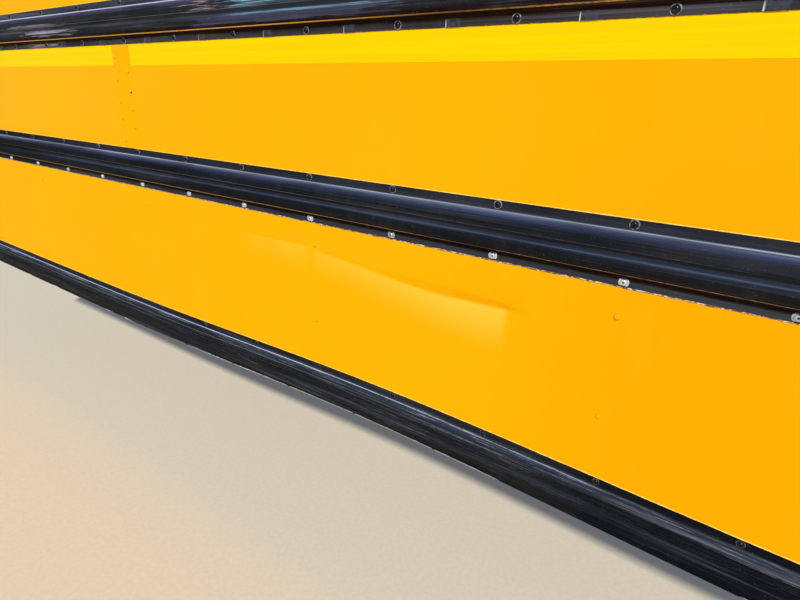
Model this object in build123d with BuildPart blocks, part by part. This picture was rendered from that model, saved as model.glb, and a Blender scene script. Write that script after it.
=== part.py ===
"""School bus side wall section: five bays of the lower side, from the skirt to the window sill.

Millimetres. X runs along the bus, Y points into the bus and Z up. The origin is on the inner face
of the floor ledge, where the floor's edge is bolted on, midway along the section and level with the
middle of the floor-line rub rail. Outer skin, rub rails and tape lie at negative Y.
"""

import os
from build123d import *

os.makedirs("parts", exist_ok=True)

# Bays and posts
post_pitch = 711.2
bay_count = 5
end_overhang = 50.0
post_count = bay_count + 1
section_length = bay_count * post_pitch + 2 * end_overhang
half_length = section_length / 2
post_places = [(i - bay_count / 2) * post_pitch for i in range(post_count)]
bay_places = [(i - (bay_count - 1) / 2) * post_pitch for i in range(bay_count)]

# Sheet thicknesses
skin_thickness = 1.5
rail_thickness = 1.5
tape_thickness = 0.3
post_thickness = 2.0
brace_thickness = 2.0
gusset_thickness = 2.5
ledge_thickness = 3.0
liner_thickness = 1.0
sill_thickness = 1.5

# Wall depth, measured outwards from the floor joint plane at Y = 0
post_depth = 45.0
crown_face = -ledge_thickness
skin_inner = crown_face - post_depth
skin_outer = skin_inner - skin_thickness
liner_face = crown_face + liner_thickness

# Rub rail: pressed strip with two faces and a groove between them
rail_height = 112.0
rail_stand_off = 12.0
rail_flange_top = 16.0
rail_flange_bottom = 15.0
rail_shoulder = 16.0
rail_upper_face = 17.0
rail_groove_width = 18.0
rail_groove_floor = 5.0
rail_groove_lift = 1.5
rail_lower_return = 8.5
rail_bend = 5.0
rail_crown_bend = 8.0
rail_groove_bend = 2.5

# Levels
floor_rail_level = 0.0
seat_rail_level = 398.0
skirt_rail_level = -500.0
skin_joint_gap = 4.0
section_height = 1396.5
skirt_lip = 0.5
skirt_bottom = skirt_rail_level - rail_height / 2 - skirt_lip
post_top = skirt_bottom + section_height

# Reflective tape and the cover strip over the seam in the side sheets
tape_height = 55.0
tape_rail_gap = 0.3
seam_place = post_places[2]
seam_strip_width = 88.0
seam_tape_gap = 2.0
seam_strip_gap = 1.0
seam_gap = 2.0
liner_seam_place = post_places[3]

# Hat-section posts and Z-section skirt braces
post_crown_width = 40.0
post_flange_width = 22.0
brace_depth = 25.0
brace_web_offset = 13.0
brace_skin_flange = 35.0
brace_inner_flange = 35.0
foot_bend = 5.0
crown_bend = 3.5
brace_top_gap = 2.0
brace_bottom_gap = 38.0

# Floor ledge angle
ledge_top = 45.0
ledge_depth = 60.0
ledge_width = 60.0
ledge_bend = 5.0
floor_bolt_radius = 5.25
floor_bolt_spacing = 237.0

# Skirt gussets under the floor ledge
gusset_drop = 270.0
gusset_inset = 2.0
gusset_toe = 14.0
gusset_flange = 20.0
gusset_corner = 6.0

# Skirt sheet's folded bottom edge
skirt_return = 22.0
skirt_bend = 3.5

# Dents in the skirt sheet, one on each side of a brace and measured from its web or its flange's end
dent_top = -72.0
dent_bottom = -250.0
crease_share = 0.65
dented_brace_web = post_places[3] + brace_web_offset
dented_brace_end = dented_brace_web + brace_skin_flange
dent_tables = (
    # along the bus, crease, deepest line, foot of the ramp, depth
    (
        (dented_brace_web - 218.6, -116.0, -124.0, -140.0, 0.1),
        (dented_brace_web - 148.6, -114.0, -120.0, -165.0, 1.0),
        (dented_brace_web - 68.6, -112.0, -118.5, -185.0, 2.2),
        (dented_brace_web - 12.6, -111.0, -117.5, -190.0, 2.6),
        (dented_brace_web - 1.6, -111.0, -117.5, -190.0, 0.1),
    ),
    (
        (dented_brace_end + 1.4, -118.0, -125.0, -185.0, 0.1),
        (dented_brace_end + 12.4, -119.0, -126.0, -186.0, 2.2),
        (dented_brace_end + 144.4, -130.0, -137.0, -190.0, 2.8),
        (dented_brace_end + 240.4, -134.0, -148.0, -200.0, 3.8),
        (dented_brace_end + 336.4, -135.0, -153.5, -214.0, 5.0),
        (dented_brace_end + 456.4, -137.0, -151.0, -246.0, 7.0),
        (dented_brace_end + 488.4, -140.0, -149.5, -240.0, 6.8),
        (dented_brace_end + 541.4, -140.0, -150.0, -200.0, 0.1),
    ),
)

# Bow splice holes in the posts' upper ends
splice_hole_radius = 4.5
splice_spacing = 25.0
splice_edge = 15.0

# Inner lining and the seat rail that carries the seats' wall side
kick_panel_gap = 2.0
kick_swage_height = 60.0
kick_swage_depth = 3.0
kick_swage_run = 8.0
seat_shelf_level = 350.0
seat_rail_rise = 30.0
seat_rail_thickness = 3.0
seat_shelf_width = 38.0
seat_shelf_lip = 12.0
seat_rail_bend = 4.5
seat_bolt_radius = 4.5
seat_bolt_spacing = 330.0
liner_top = 742.0
bead_count = 4
bead_height = 3.5
bead_half_width = 10.0
bead_crown_half_width = 4.0
bead_margin = 55.0
press_bend = 2.5

# Window sill cap
sill_bottom = 735.0
sill_outer_height = 27.0
sill_slope_rise = 6.0
sill_slope_width = 21.0
sill_upstand = 12.0
sill_bend = 3.0
sill_post_clearance = 1.0
sheet_top_gap = 4.0

# Rub rails: name, level of the strip's middle
rail_table = (
    ("seat_level_rail", seat_rail_level),
    ("floor_line_rail", floor_rail_level),
    ("skirt_rail", skirt_rail_level),
)
rail_outer = skin_outer - rail_stand_off - rail_thickness
rail_flange_face = skin_outer - rail_thickness
rail_groove_face = rail_flange_face - rail_groove_lift
for rail_name, rail_level in rail_table:
    rail_top = rail_level + rail_height / 2
    shoulder_top = rail_top - rail_flange_top
    upper_face_top = shoulder_top - rail_shoulder
    groove_top = upper_face_top - rail_upper_face
    groove_side = (rail_groove_width - rail_groove_floor) / 2
    groove_bottom = groove_top - rail_groove_width
    rail_bottom = rail_level - rail_height / 2
    return_bottom = rail_bottom + rail_flange_bottom
    lower_face_bottom = return_bottom + rail_lower_return
    with BuildPart() as rail:
        with BuildSketch(Plane.YZ.offset(-half_length)):
            with BuildLine():
                FilletPolyline(
                    (rail_flange_face, rail_top),
                    (rail_flange_face, shoulder_top),
                    (rail_outer, upper_face_top),
                    (rail_outer, groove_top),
                    (rail_groove_face, groove_top - groove_side),
                    (rail_groove_face, groove_bottom + groove_side),
                    (rail_outer, groove_bottom),
                    (rail_outer, lower_face_bottom),
                    (rail_flange_face, return_bottom),
                    (rail_flange_face, rail_bottom),
                    radius=[
                        rail_bend,
                        rail_crown_bend,
                        rail_groove_bend,
                        rail_groove_bend,
                        rail_groove_bend,
                        rail_groove_bend,
                        rail_groove_bend,
                        rail_groove_bend,
                    ],
                )
                offset(amount=rail_thickness, side=Side.LEFT)
            make_face()
        extrude(amount=section_length)
    rail.part.label = rail_name
    export_step(rail.part, f"parts/{rail_name}.step")

# Side sheets above the floor line, butted at the seam post
floor_rail_top = floor_rail_level + rail_height / 2
seat_level_bottom = seat_rail_level - rail_height / 2
seat_level_top = seat_rail_level + rail_height / 2
sheet_bottom = floor_rail_level + skin_joint_gap / 2
sill_outer_top = sill_bottom + sill_outer_height
sheet_top = sill_outer_top - sheet_top_gap
side_sheet_table = (
    ("side_sheet_left", -half_length, seam_place - seam_gap / 2),
    ("side_sheet_right", seam_place + seam_gap / 2, half_length),
)
for sheet_name, sheet_start, sheet_end in side_sheet_table:
    with BuildPart() as side_sheet:
        with BuildSketch(Plane.YZ.offset(sheet_start)):
            with Locations((skin_outer, sheet_bottom)):
                Rectangle(skin_thickness, sheet_top - sheet_bottom, align=(Align.MIN, Align.MIN))
        extrude(amount=sheet_end - sheet_start)
    side_sheet.part.label = sheet_name
    export_step(side_sheet.part, f"parts/{sheet_name}.step")

# Cover strip over the seam, in two stretches between the rub rails and the sill
strip_stretches = (
    (floor_rail_top + seam_strip_gap, seat_level_bottom - seam_strip_gap),
    (seat_level_top + seam_strip_gap, sill_bottom - seam_strip_gap),
)
with BuildPart() as seam_strip:
    for stretch_bottom, stretch_top in strip_stretches:
        with BuildSketch(Plane.YZ.offset(seam_place - seam_strip_width / 2)):
            with Locations((skin_outer - skin_thickness, stretch_bottom)):
                Rectangle(skin_thickness, stretch_top - stretch_bottom, align=(Align.MIN, Align.MIN))
        extrude(amount=seam_strip_width)
seam_strip.part.label = "seam_strip"
export_step(seam_strip.part, "parts/seam_strip.step")

# Reflective tape under the seat-level rail, cut away at the cover strip
tape_top = seat_level_bottom - tape_rail_gap
tape_inset = seam_strip_width / 2 + seam_tape_gap
tape_table = (
    ("reflective_tape_left", -half_length, seam_place - tape_inset),
    ("reflective_tape_right", seam_place + tape_inset, half_length),
)
for tape_name, tape_start, tape_end in tape_table:
    with BuildPart() as tape:
        with BuildSketch(Plane.YZ.offset(tape_start)):
            with Locations((skin_outer - tape_thickness, tape_top - tape_height)):
                Rectangle(tape_thickness, tape_height, align=(Align.MIN, Align.MIN))
        extrude(amount=tape_end - tape_start)
    tape.part.label = tape_name
    export_step(tape.part, f"parts/{tape_name}.step")

# Dents: patches of skin lofted through the tables' sections, their ends flush with the flat sheet
dent_patches = []
for dent_table in dent_tables:
    with BuildPart() as dent_patch:
        for dent_place, crease_level, deep_level, foot_level, dent_depth in dent_table:
            crease_depth = dent_depth * crease_share
            with BuildSketch(Plane.YZ.offset(dent_place)):
                with BuildLine():
                    Polyline(
                        (skin_outer, dent_top),
                        (skin_outer + crease_depth, crease_level),
                        (skin_outer + dent_depth, deep_level),
                        (skin_outer, foot_level),
                        (skin_outer, dent_bottom),
                        (skin_inner, dent_bottom),
                        (skin_inner, foot_level),
                        (skin_inner + dent_depth, deep_level),
                        (skin_inner + crease_depth, crease_level),
                        (skin_inner, dent_top),
                        close=True,
                    )
                make_face()
        loft(ruled=True)
    dent_patches.append(dent_patch.part)

# Skirt sheet below the floor line, folded inwards along its bottom edge, with the dents let in
skirt_top = floor_rail_level - skin_joint_gap / 2
with BuildPart() as skirt_sheet:
    with BuildSketch(Plane.YZ.offset(-half_length)):
        with BuildLine():
            FilletPolyline(
                (skin_outer, skirt_top),
                (skin_outer, skirt_bottom),
                (skin_outer + skirt_return, skirt_bottom),
                radius=skirt_bend,
            )
            offset(amount=skin_thickness, side=Side.LEFT)
        make_face()
    extrude(amount=section_length)
    for dent_table in dent_tables:
        with BuildSketch(Plane.YZ.offset(dent_table[0][0])):
            with Locations((skin_outer, dent_bottom)):
                Rectangle(skin_thickness, dent_top - dent_bottom, align=(Align.MIN, Align.MIN))
        extrude(amount=dent_table[-1][0] - dent_table[0][0], mode=Mode.SUBTRACT)
    add(dent_patches)
skirt_sheet.part.label = "skirt_sheet"
export_step(skirt_sheet.part, "parts/skirt_sheet.step")

# Posts: hat section, flanges riveted to the skin, crown towards the inside
post_bottom = -ledge_depth
crown_inner = crown_face - post_thickness
web_inner = post_crown_width / 2 - post_thickness
flange_end = post_crown_width / 2 + post_flange_width
splice_level = post_top - splice_edge - splice_spacing / 2
for number, post_place in enumerate(post_places, start=1):
    with BuildPart() as post:
        with BuildSketch(Plane.XY.offset(post_bottom)):
            with BuildLine():
                FilletPolyline(
                    (post_place - flange_end, skin_inner),
                    (post_place - web_inner, skin_inner),
                    (post_place - web_inner, crown_inner),
                    (post_place + web_inner, crown_inner),
                    (post_place + web_inner, skin_inner),
                    (post_place + flange_end, skin_inner),
                    radius=[foot_bend, crown_bend, crown_bend, foot_bend],
                )
                offset(amount=post_thickness, side=Side.LEFT)
            make_face()
        extrude(amount=post_top - post_bottom)
        with BuildSketch(Plane.XZ.offset(-crown_face)):
            with Locations((post_place, splice_level)):
                with GridLocations(0, splice_spacing, 1, 2):
                    Circle(splice_hole_radius)
        extrude(amount=post_thickness, mode=Mode.SUBTRACT)
    post.part.label = f"post_{number}"
    export_step(post.part, f"parts/post_{number}.step")

# Skirt braces: Z section, one flange riveted to the skirt sheet beside each post
brace_top = post_bottom - brace_top_gap
brace_bottom = skirt_bottom + brace_bottom_gap
brace_crown_face = skin_inner + brace_depth
brace_crown_inner = brace_crown_face - brace_thickness
for number, post_place in enumerate(post_places, start=1):
    brace_web = post_place + brace_web_offset
    with BuildPart() as brace:
        with BuildSketch(Plane.XY.offset(brace_bottom)):
            with BuildLine():
                FilletPolyline(
                    (brace_web + brace_skin_flange, skin_inner),
                    (brace_web, skin_inner),
                    (brace_web, brace_crown_inner),
                    (brace_web - brace_inner_flange, brace_crown_inner),
                    radius=[foot_bend, crown_bend],
                )
                offset(amount=brace_thickness, side=Side.RIGHT)
            make_face()
        extrude(amount=brace_top - brace_bottom)
    brace.part.label = f"skirt_brace_{number}"
    export_step(brace.part, f"parts/skirt_brace_{number}.step")

# Skirt gussets: a web between the brace and the floor ledge, folded along both legs
gusset_top = -ledge_depth
gusset_bottom = gusset_top - gusset_drop
gusset_back = brace_crown_face
gusset_nose = ledge_width - gusset_inset
for number, post_place in enumerate(post_places, start=1):
    web_start = post_place - gusset_flange / 2
    with BuildPart() as gusset:
        with BuildSketch(Plane.YZ.offset(web_start)):
            with BuildLine():
                FilletPolyline(
                    (gusset_back, gusset_top),
                    (gusset_nose, gusset_top),
                    (gusset_nose, gusset_top - gusset_toe),
                    (gusset_back + gusset_toe, gusset_bottom),
                    (gusset_back, gusset_bottom),
                    radius=gusset_corner,
                )
                Line((gusset_back, gusset_bottom), (gusset_back, gusset_top))
            make_face()
        extrude(amount=gusset_thickness)
        with BuildSketch(Plane.YZ.offset(web_start)):
            with Locations((gusset_back, gusset_top)):
                Rectangle(gusset_nose - gusset_back, gusset_thickness, align=(Align.MIN, Align.MAX))
                Rectangle(gusset_thickness, gusset_drop, align=(Align.MIN, Align.MAX))
        extrude(amount=gusset_flange)
    gusset.part.label = f"skirt_gusset_{number}"
    export_step(gusset.part, f"parts/skirt_gusset_{number}.step")

# Floor ledge: angle bolted along the posts, which the floor's edge rests on
with BuildPart() as floor_ledge:
    with BuildSketch(Plane.YZ.offset(-half_length)):
        with BuildLine():
            FilletPolyline(
                (0, ledge_top),
                (0, -ledge_depth + ledge_thickness),
                (ledge_width, -ledge_depth + ledge_thickness),
                radius=ledge_bend,
            )
            offset(amount=ledge_thickness, side=Side.RIGHT)
        make_face()
    extrude(amount=section_length)
    with BuildSketch(Plane.XZ):
        with Locations([(place, 0) for place in bay_places]):
            with GridLocations(floor_bolt_spacing, 0, 2, 1):
                Circle(floor_bolt_radius)
    extrude(amount=ledge_thickness, mode=Mode.SUBTRACT)
floor_ledge.part.label = "floor_ledge"
export_step(floor_ledge.part, "parts/floor_ledge.step")

# Seat rail: folded strip with a shelf for the seat frames' wall bolts
seat_rail_top = seat_shelf_level + seat_rail_rise
with BuildPart() as seat_rail:
    with BuildSketch(Plane.YZ.offset(-half_length)):
        with BuildLine():
            FilletPolyline(
                (crown_face, seat_rail_top),
                (crown_face, seat_shelf_level - seat_rail_thickness),
                (seat_shelf_width - seat_rail_thickness, seat_shelf_level - seat_rail_thickness),
                (seat_shelf_width - seat_rail_thickness, seat_shelf_level - seat_shelf_lip),
                radius=[seat_rail_bend + seat_rail_thickness, seat_rail_bend],
            )
            offset(amount=seat_rail_thickness, side=Side.LEFT)
        make_face()
    extrude(amount=section_length)
    with BuildSketch(Plane.XY.offset(seat_shelf_level)):
        with Locations([(place, seat_shelf_width / 2) for place in bay_places]):
            with GridLocations(seat_bolt_spacing, 0, 2, 1):
                Circle(seat_bolt_radius)
    extrude(amount=-seat_rail_thickness, mode=Mode.SUBTRACT)
seat_rail.part.label = "seat_rail"
export_step(seat_rail.part, "parts/seat_rail.step")

# Kick panels between the floor ledge and the seat rail, with one shallow swage
kick_bottom = ledge_top + kick_panel_gap
kick_top = seat_shelf_level - seat_shelf_lip - kick_panel_gap
swage_low = (kick_bottom + kick_top - kick_swage_height) / 2
swage_high = swage_low + kick_swage_height
swage_face = liner_face + kick_swage_depth
kick_panel_table = (
    ("kick_panel_left", -half_length, seam_place - seam_gap / 2),
    ("kick_panel_right", seam_place + seam_gap / 2, half_length),
)
for panel_name, panel_start, panel_end in kick_panel_table:
    with BuildPart() as kick_panel:
        with BuildSketch(Plane.YZ.offset(panel_start)):
            with BuildLine():
                FilletPolyline(
                    (liner_face, kick_bottom),
                    (liner_face, swage_low),
                    (swage_face, swage_low + kick_swage_run),
                    (swage_face, swage_high - kick_swage_run),
                    (liner_face, swage_high),
                    (liner_face, kick_top),
                    radius=press_bend,
                )
                offset(amount=liner_thickness, side=Side.LEFT)
            make_face()
        extrude(amount=panel_end - panel_start)
    kick_panel.part.label = panel_name
    export_step(kick_panel.part, f"parts/{panel_name}.step")

# Side liners between the seat rail and the sill, stiffened by pressed beads
liner_bottom = seat_rail_top + kick_panel_gap
bead_spacing = (liner_top - liner_bottom - 2 * bead_margin) / (bead_count - 1)
liner_points = [(liner_face, liner_bottom)]
for bead in range(bead_count):
    bead_level = liner_bottom + bead_margin + bead * bead_spacing
    liner_points.append((liner_face, bead_level - bead_half_width))
    liner_points.append((liner_face + bead_height, bead_level - bead_crown_half_width))
    liner_points.append((liner_face + bead_height, bead_level + bead_crown_half_width))
    liner_points.append((liner_face, bead_level + bead_half_width))
liner_points.append((liner_face, liner_top))
side_liner_table = (
    ("side_liner_left", -half_length, liner_seam_place - seam_gap / 2),
    ("side_liner_right", liner_seam_place + seam_gap / 2, half_length),
)
for liner_name, liner_start, liner_end in side_liner_table:
    with BuildPart() as side_liner:
        with BuildSketch(Plane.YZ.offset(liner_start)):
            with BuildLine():
                FilletPolyline(*liner_points, radius=press_bend)
                offset(amount=liner_thickness, side=Side.LEFT)
            make_face()
        extrude(amount=liner_end - liner_start)
    side_liner.part.label = liner_name
    export_step(side_liner.part, f"parts/{liner_name}.step")

# Window sill cap over the sheets and liners, notched round the posts
sill_outer_face = skin_outer - sill_thickness
sill_step = sill_outer_face + sill_slope_width
sill_step_level = sill_outer_top + sill_slope_rise
sill_top = sill_step_level + sill_upstand
sill_inner_face = liner_face + sill_thickness
notch_bottom = skin_inner - sill_post_clearance / 2
notch_top = liner_face - sill_post_clearance / 2
notch_width = 2 * (flange_end + sill_post_clearance)
with BuildPart() as window_sill:
    with BuildSketch(Plane.YZ.offset(-half_length)):
        with BuildLine():
            FilletPolyline(
                (sill_outer_face, sill_bottom),
                (sill_outer_face, sill_outer_top),
                (sill_step, sill_step_level),
                (sill_step, sill_top),
                (sill_inner_face, sill_top),
                (sill_inner_face, sill_bottom),
                radius=sill_bend,
            )
            offset(amount=sill_thickness, side=Side.RIGHT)
        make_face()
    extrude(amount=section_length)
    with BuildSketch(Plane.XY.offset(sill_bottom)):
        with Locations([(place, notch_bottom) for place in post_places]):
            Rectangle(notch_width, notch_top - notch_bottom, align=(Align.CENTER, Align.MIN))
    extrude(amount=sill_top - sill_bottom, mode=Mode.SUBTRACT)
window_sill.part.label = "window_sill"
export_step(window_sill.part, "parts/window_sill.step")
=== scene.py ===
"""School bus side wall section: its finishes, fastenings and studio stage.

Laid out as an add-on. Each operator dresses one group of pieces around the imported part, in metres,
in the part's own frame: X along the bus, Y into the bus, Z up.
"""

import math
import random
from functools import partial

import bmesh
import bpy
import numpy as np
from bpy.props import FloatProperty, FloatVectorProperty, IntProperty, PointerProperty
from mathutils import Euler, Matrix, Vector


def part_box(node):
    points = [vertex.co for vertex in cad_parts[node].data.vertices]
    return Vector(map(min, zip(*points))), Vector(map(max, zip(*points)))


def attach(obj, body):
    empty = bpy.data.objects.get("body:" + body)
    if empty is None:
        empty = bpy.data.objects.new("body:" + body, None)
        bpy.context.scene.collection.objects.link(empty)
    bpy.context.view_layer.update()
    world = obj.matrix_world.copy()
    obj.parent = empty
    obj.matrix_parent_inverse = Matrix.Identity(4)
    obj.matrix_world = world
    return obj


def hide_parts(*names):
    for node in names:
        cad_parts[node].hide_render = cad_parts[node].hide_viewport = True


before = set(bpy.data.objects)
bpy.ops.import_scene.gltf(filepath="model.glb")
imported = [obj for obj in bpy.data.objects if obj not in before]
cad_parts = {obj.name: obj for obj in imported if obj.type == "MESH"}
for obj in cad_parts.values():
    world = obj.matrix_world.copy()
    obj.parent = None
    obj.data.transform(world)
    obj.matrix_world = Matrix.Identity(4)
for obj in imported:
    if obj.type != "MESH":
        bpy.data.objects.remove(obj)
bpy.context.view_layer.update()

bl_info = {
    "name": "School bus side wall",
    "version": (1, 0, 0),
    "blender": (4, 5, 0),
    "location": "3D View > Sidebar > Bus wall",
    "description": "Dresses a school bus side wall section with its finishes, fastenings and stage",
    "category": "Object",
}

POSTS = [f"post_{number}" for number in range(1, 7)]
BRACES = [f"skirt_brace_{number}" for number in range(1, 7)]
GUSSETS = [f"skirt_gusset_{number}" for number in range(1, 7)]
POST_PLACES = [(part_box(name)[0].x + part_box(name)[1].x) / 2 for name in POSTS]
POST_PITCH = POST_PLACES[1] - POST_PLACES[0]
STRIP_POST = POST_PLACES[2]
STRUCK_POST = POST_PLACES[3]
HALF_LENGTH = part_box("floor_line_rail")[1].x
SKIN_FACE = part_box("side_sheet_left")[0].y
SKIN_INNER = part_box("side_sheet_left")[1].y
CROWN_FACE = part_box("post_1")[1].y

# Rub rail section, from its top edge down: distance out from the flange, distance down, bend radius
RAIL_SECTION = (
    (0.0, 0.0, 0.0),
    (0.0, 0.016, 0.005),
    (0.012, 0.032, 0.008),
    (0.012, 0.049, 0.0025),
    (0.0015, 0.0555, 0.0025),
    (0.0015, 0.0605, 0.0025),
    (0.012, 0.067, 0.0025),
    (0.012, 0.0885, 0.0025),
    (0.0, 0.097, 0.0025),
)

# The rails' height, how far they stand out, their sheet, where their flanges lie, the height of the
# lower flange and how soft the sides of its pads are
RAIL_HEIGHT = 0.112
RAIL_REACH = 0.012
RAIL_SHEET = 0.0015
RAIL_FLANGE = SKIN_FACE - RAIL_SHEET
FLANGE_DEPTH = 0.0145
PAD_EDGE = 0.0006

# How far above the skirt rail its rise dies away, where the skirt's fold starts, and the fold's radius
HEM_FADE = 0.07
HEM_START = 0.004
HEM_BEND = 0.0035

# From the wall's ends to the nearest screw, and to the ends of the beads
SCREW_END_GAP = 0.01
BEAD_END_GAP = 0.002

# Spacing of a sheet's points along the bus, and over the dents along the bus and up it
SHEET_STEP = 0.024
DENT_STEP = 0.006
DENT_LEVEL_STEP = 0.0026

# The struck skirt, from the web and the flange's end of the brace that held it. A dent's rows give the
# place along the bus, crease, deepest line, foot of the ramp and share of the depth
DENTED_WEB = STRUCK_POST + 0.013
DENTED_END = DENTED_WEB + 0.035
DENT_TOP = -0.072
DENT_FOOT = -0.255
DENT_CREASE = 0.65
DENT_TABLES = (
    (
        (DENTED_WEB - 0.2186, -0.1160, -0.1240, -0.140, 0.0),
        (DENTED_WEB - 0.1486, -0.1140, -0.1200, -0.165, 0.14),
        (DENTED_WEB - 0.0686, -0.1120, -0.1185, -0.185, 0.31),
        (DENTED_WEB - 0.0126, -0.1110, -0.1175, -0.190, 0.37),
        (DENTED_WEB - 0.0016, -0.1110, -0.1175, -0.190, 0.0),
    ),
    (
        (DENTED_END + 0.0014, -0.1180, -0.1250, -0.185, 0.0),
        (DENTED_END + 0.0124, -0.1190, -0.1260, -0.186, 0.31),
        (DENTED_END + 0.1444, -0.1300, -0.1370, -0.190, 0.40),
        (DENTED_END + 0.2404, -0.1340, -0.1480, -0.200, 0.54),
        (DENTED_END + 0.3364, -0.1350, -0.1535, -0.214, 0.71),
        (DENTED_END + 0.4564, -0.1370, -0.1510, -0.246, 1.0),
        (DENTED_END + 0.4884, -0.1400, -0.1495, -0.240, 0.97),
        (DENTED_END + 0.5414, -0.1400, -0.1500, -0.200, 0.0),
    ),
)

# Where each dent's painted highlight runs, along the bus
DENT_HIGHLIGHT_SPANS = ((DENTED_WEB - 0.2186, DENTED_WEB), (DENTED_WEB + 0.016, DENTED_END + 0.4934))

# Painted highlights, reflections and shade on a rub rail's black paint, by its drop below the top edge, as a
# share of the full height
RAIL_LIGHT_AND_SHADE = (
    (0.0, (0.026, 0.028, 0.038)),
    (0.150, (0.022, 0.027, 0.042)),
    (0.160, (0.14, 0.17, 0.24)),
    (0.168, (0.52, 0.57, 0.68)),
    (0.178, (0.15, 0.18, 0.27)),
    (0.215, (0.054, 0.070, 0.146)),
    (0.262, (0.023, 0.032, 0.078)),
    (0.305, (0.011, 0.014, 0.021)),
    (0.430, (0.010, 0.012, 0.016)),
    (0.455, (0.030, 0.035, 0.046)),
    (0.505, (0.048, 0.056, 0.080)),
    (0.540, (0.026, 0.033, 0.052)),
    (0.562, (0.030, 0.040, 0.070)),
    (0.575, (0.085, 0.112, 0.185)),
    (0.590, (0.022, 0.030, 0.054)),
    (0.615, (0.011, 0.013, 0.018)),
    (0.730, (0.012, 0.012, 0.012)),
    (0.780, (0.018, 0.010, 0.006)),
    (0.870, (0.016, 0.008, 0.005)),
    (0.900, (0.012, 0.010, 0.009)),
    (0.912, (0.034, 0.037, 0.046)),
    (0.965, (0.046, 0.047, 0.057)),
    (1.0, (0.046, 0.044, 0.052)),
)
SEAT_LIGHT_AND_SHADE = (
    (0.0, (0.044, 0.052, 0.072)),
    (0.150, (0.028, 0.040, 0.062)),
    (0.160, (0.14, 0.17, 0.24)),
    (0.168, (0.50, 0.54, 0.68)),
    (0.178, (0.16, 0.17, 0.27)),
    (0.215, (0.070, 0.068, 0.125)),
    (0.262, (0.034, 0.038, 0.072)),
    (0.305, (0.025, 0.027, 0.036)),
    (0.430, (0.023, 0.025, 0.031)),
    (0.455, (0.050, 0.058, 0.072)),
    (0.505, (0.115, 0.132, 0.158)),
    (0.540, (0.070, 0.082, 0.104)),
    (0.575, (0.050, 0.062, 0.095)),
    (0.590, (0.024, 0.026, 0.034)),
    (0.690, (0.022, 0.021, 0.022)),
    (0.735, (0.014, 0.008, 0.005)),
    (0.780, (0.016, 0.004, 0.002)),
    (0.870, (0.026, 0.010, 0.005)),
    (0.900, (0.026, 0.021, 0.017)),
    (0.930, (0.046, 0.043, 0.047)),
    (1.0, (0.066, 0.050, 0.044)),
)
SKIRT_LIGHT_AND_SHADE = (
    (0.0, (0.022, 0.021, 0.021)),
    (0.120, (0.022, 0.025, 0.030)),
    (0.152, (0.032, 0.040, 0.052)),
    (0.168, (0.052, 0.066, 0.096)),
    (0.205, (0.036, 0.048, 0.080)),
    (0.255, (0.022, 0.028, 0.042)),
    (0.310, (0.019, 0.020, 0.023)),
    (0.500, (0.017, 0.017, 0.018)),
    (0.600, (0.022, 0.022, 0.023)),
    (0.860, (0.019, 0.018, 0.017)),
    (0.895, (0.012, 0.012, 0.011)),
    (1.0, (0.010, 0.010, 0.010)),
)

# How strongly fine streaks show, by the same drop: scratches that carry a painted sheen, strongest on the
# shoulder
RAIL_STREAKS = (
    (0.0, 0.02),
    (0.150, 0.04),
    (0.175, 0.20),
    (0.250, 0.12),
    (0.330, 0.04),
    (0.600, 0.06),
    (1.0, 0.03),
)
SKIRT_STREAKS = (
    (0.0, 0.03),
    (0.150, 0.08),
    (0.165, 1.0),
    (0.215, 0.95),
    (0.265, 0.40),
    (0.330, 0.24),
    (0.450, 0.16),
    (0.600, 0.24),
    (0.780, 0.16),
    (1.0, 0.03),
)

# Painted highlights and reflections: thin lines along a rail's bends: drop, half width, colour
RAIL_HIGHLIGHT_LINES = ((0.450, 0.0055, (0.26, 0.24, 0.21)), (0.800, 0.007, (0.56, 0.39, 0.27)))
SEAT_HIGHLIGHT_LINES = (
    (0.170, 0.015, (0.34, 0.34, 0.52)),
    (0.450, 0.005, (0.16, 0.15, 0.16)),
    (0.800, 0.011, (0.60, 0.34, 0.080)),
)
SKIRT_HIGHLIGHT_LINES = (
    (0.172, 0.008, (0.34, 0.38, 0.50)),
    (0.300, 0.005, (0.13, 0.14, 0.18)),
    (0.440, 0.005, (0.17, 0.17, 0.20)),
)

# Painted reflections on the seat-level rail, laid in smear-like patches: colour, solid share, first and last
# place, lowest and highest level
PAINTED_REFLECTIONS = (
    ((0.40, 0.38, 0.46), 0.0, -0.88, -0.60, 0.374, 0.393),
    ((0.30, 0.29, 0.38), 0.0, -1.02, -0.70, 0.400, 0.410),
    ((0.055, 0.060, 0.100), 0.5, 0.05, 0.60, 0.372, 0.402),
    ((0.34, 0.27, 0.29), 0.4, 0.034, 0.052, 0.404, 0.430),
    ((0.22, 0.46, 0.60), 0.1, 0.17, 0.44, 0.405, 0.424),
    ((0.16, 0.36, 0.50), 0.2, 0.17, 0.56, 0.3885, 0.3925),
    ((0.26, 0.24, 0.23), 0.3, -0.905, -0.830, 0.3435, 0.356),
    ((0.24, 0.23, 0.22), 0.2, -0.780, -0.705, 0.3435, 0.356),
)

# Painted shade: where the rails' faces are painted darker along the bus: where each stretch starts, where it
# is darkest, and how dark
RAIL_SHADED_STRETCHES = ((-0.6, -1.2, 0.9),)
SKIRT_SHADED_STRETCHES = ((0.90, 1.15, 0.92), (0.60, 0.20, 0.35))

# Old sealer and paint edges: pale, tinted and cracked tones. The paint edges are paler in part as a painted
# highlight along the rails' top edges
SEAM_TONES = ((0.90, 0.86, 0.76), (0.66, 0.26, 0.03), (0.04, 0.025, 0.02))
THIN_TONES = ((0.80, 0.55, 0.30), (0.70, 0.16, 0.02), (0.16, 0.05, 0.02))
EDGE_HIGHLIGHT_TONES = ((0.97, 0.76, 0.24), (0.96, 0.68, 0.12), (0.93, 0.52, 0.03))
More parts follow.
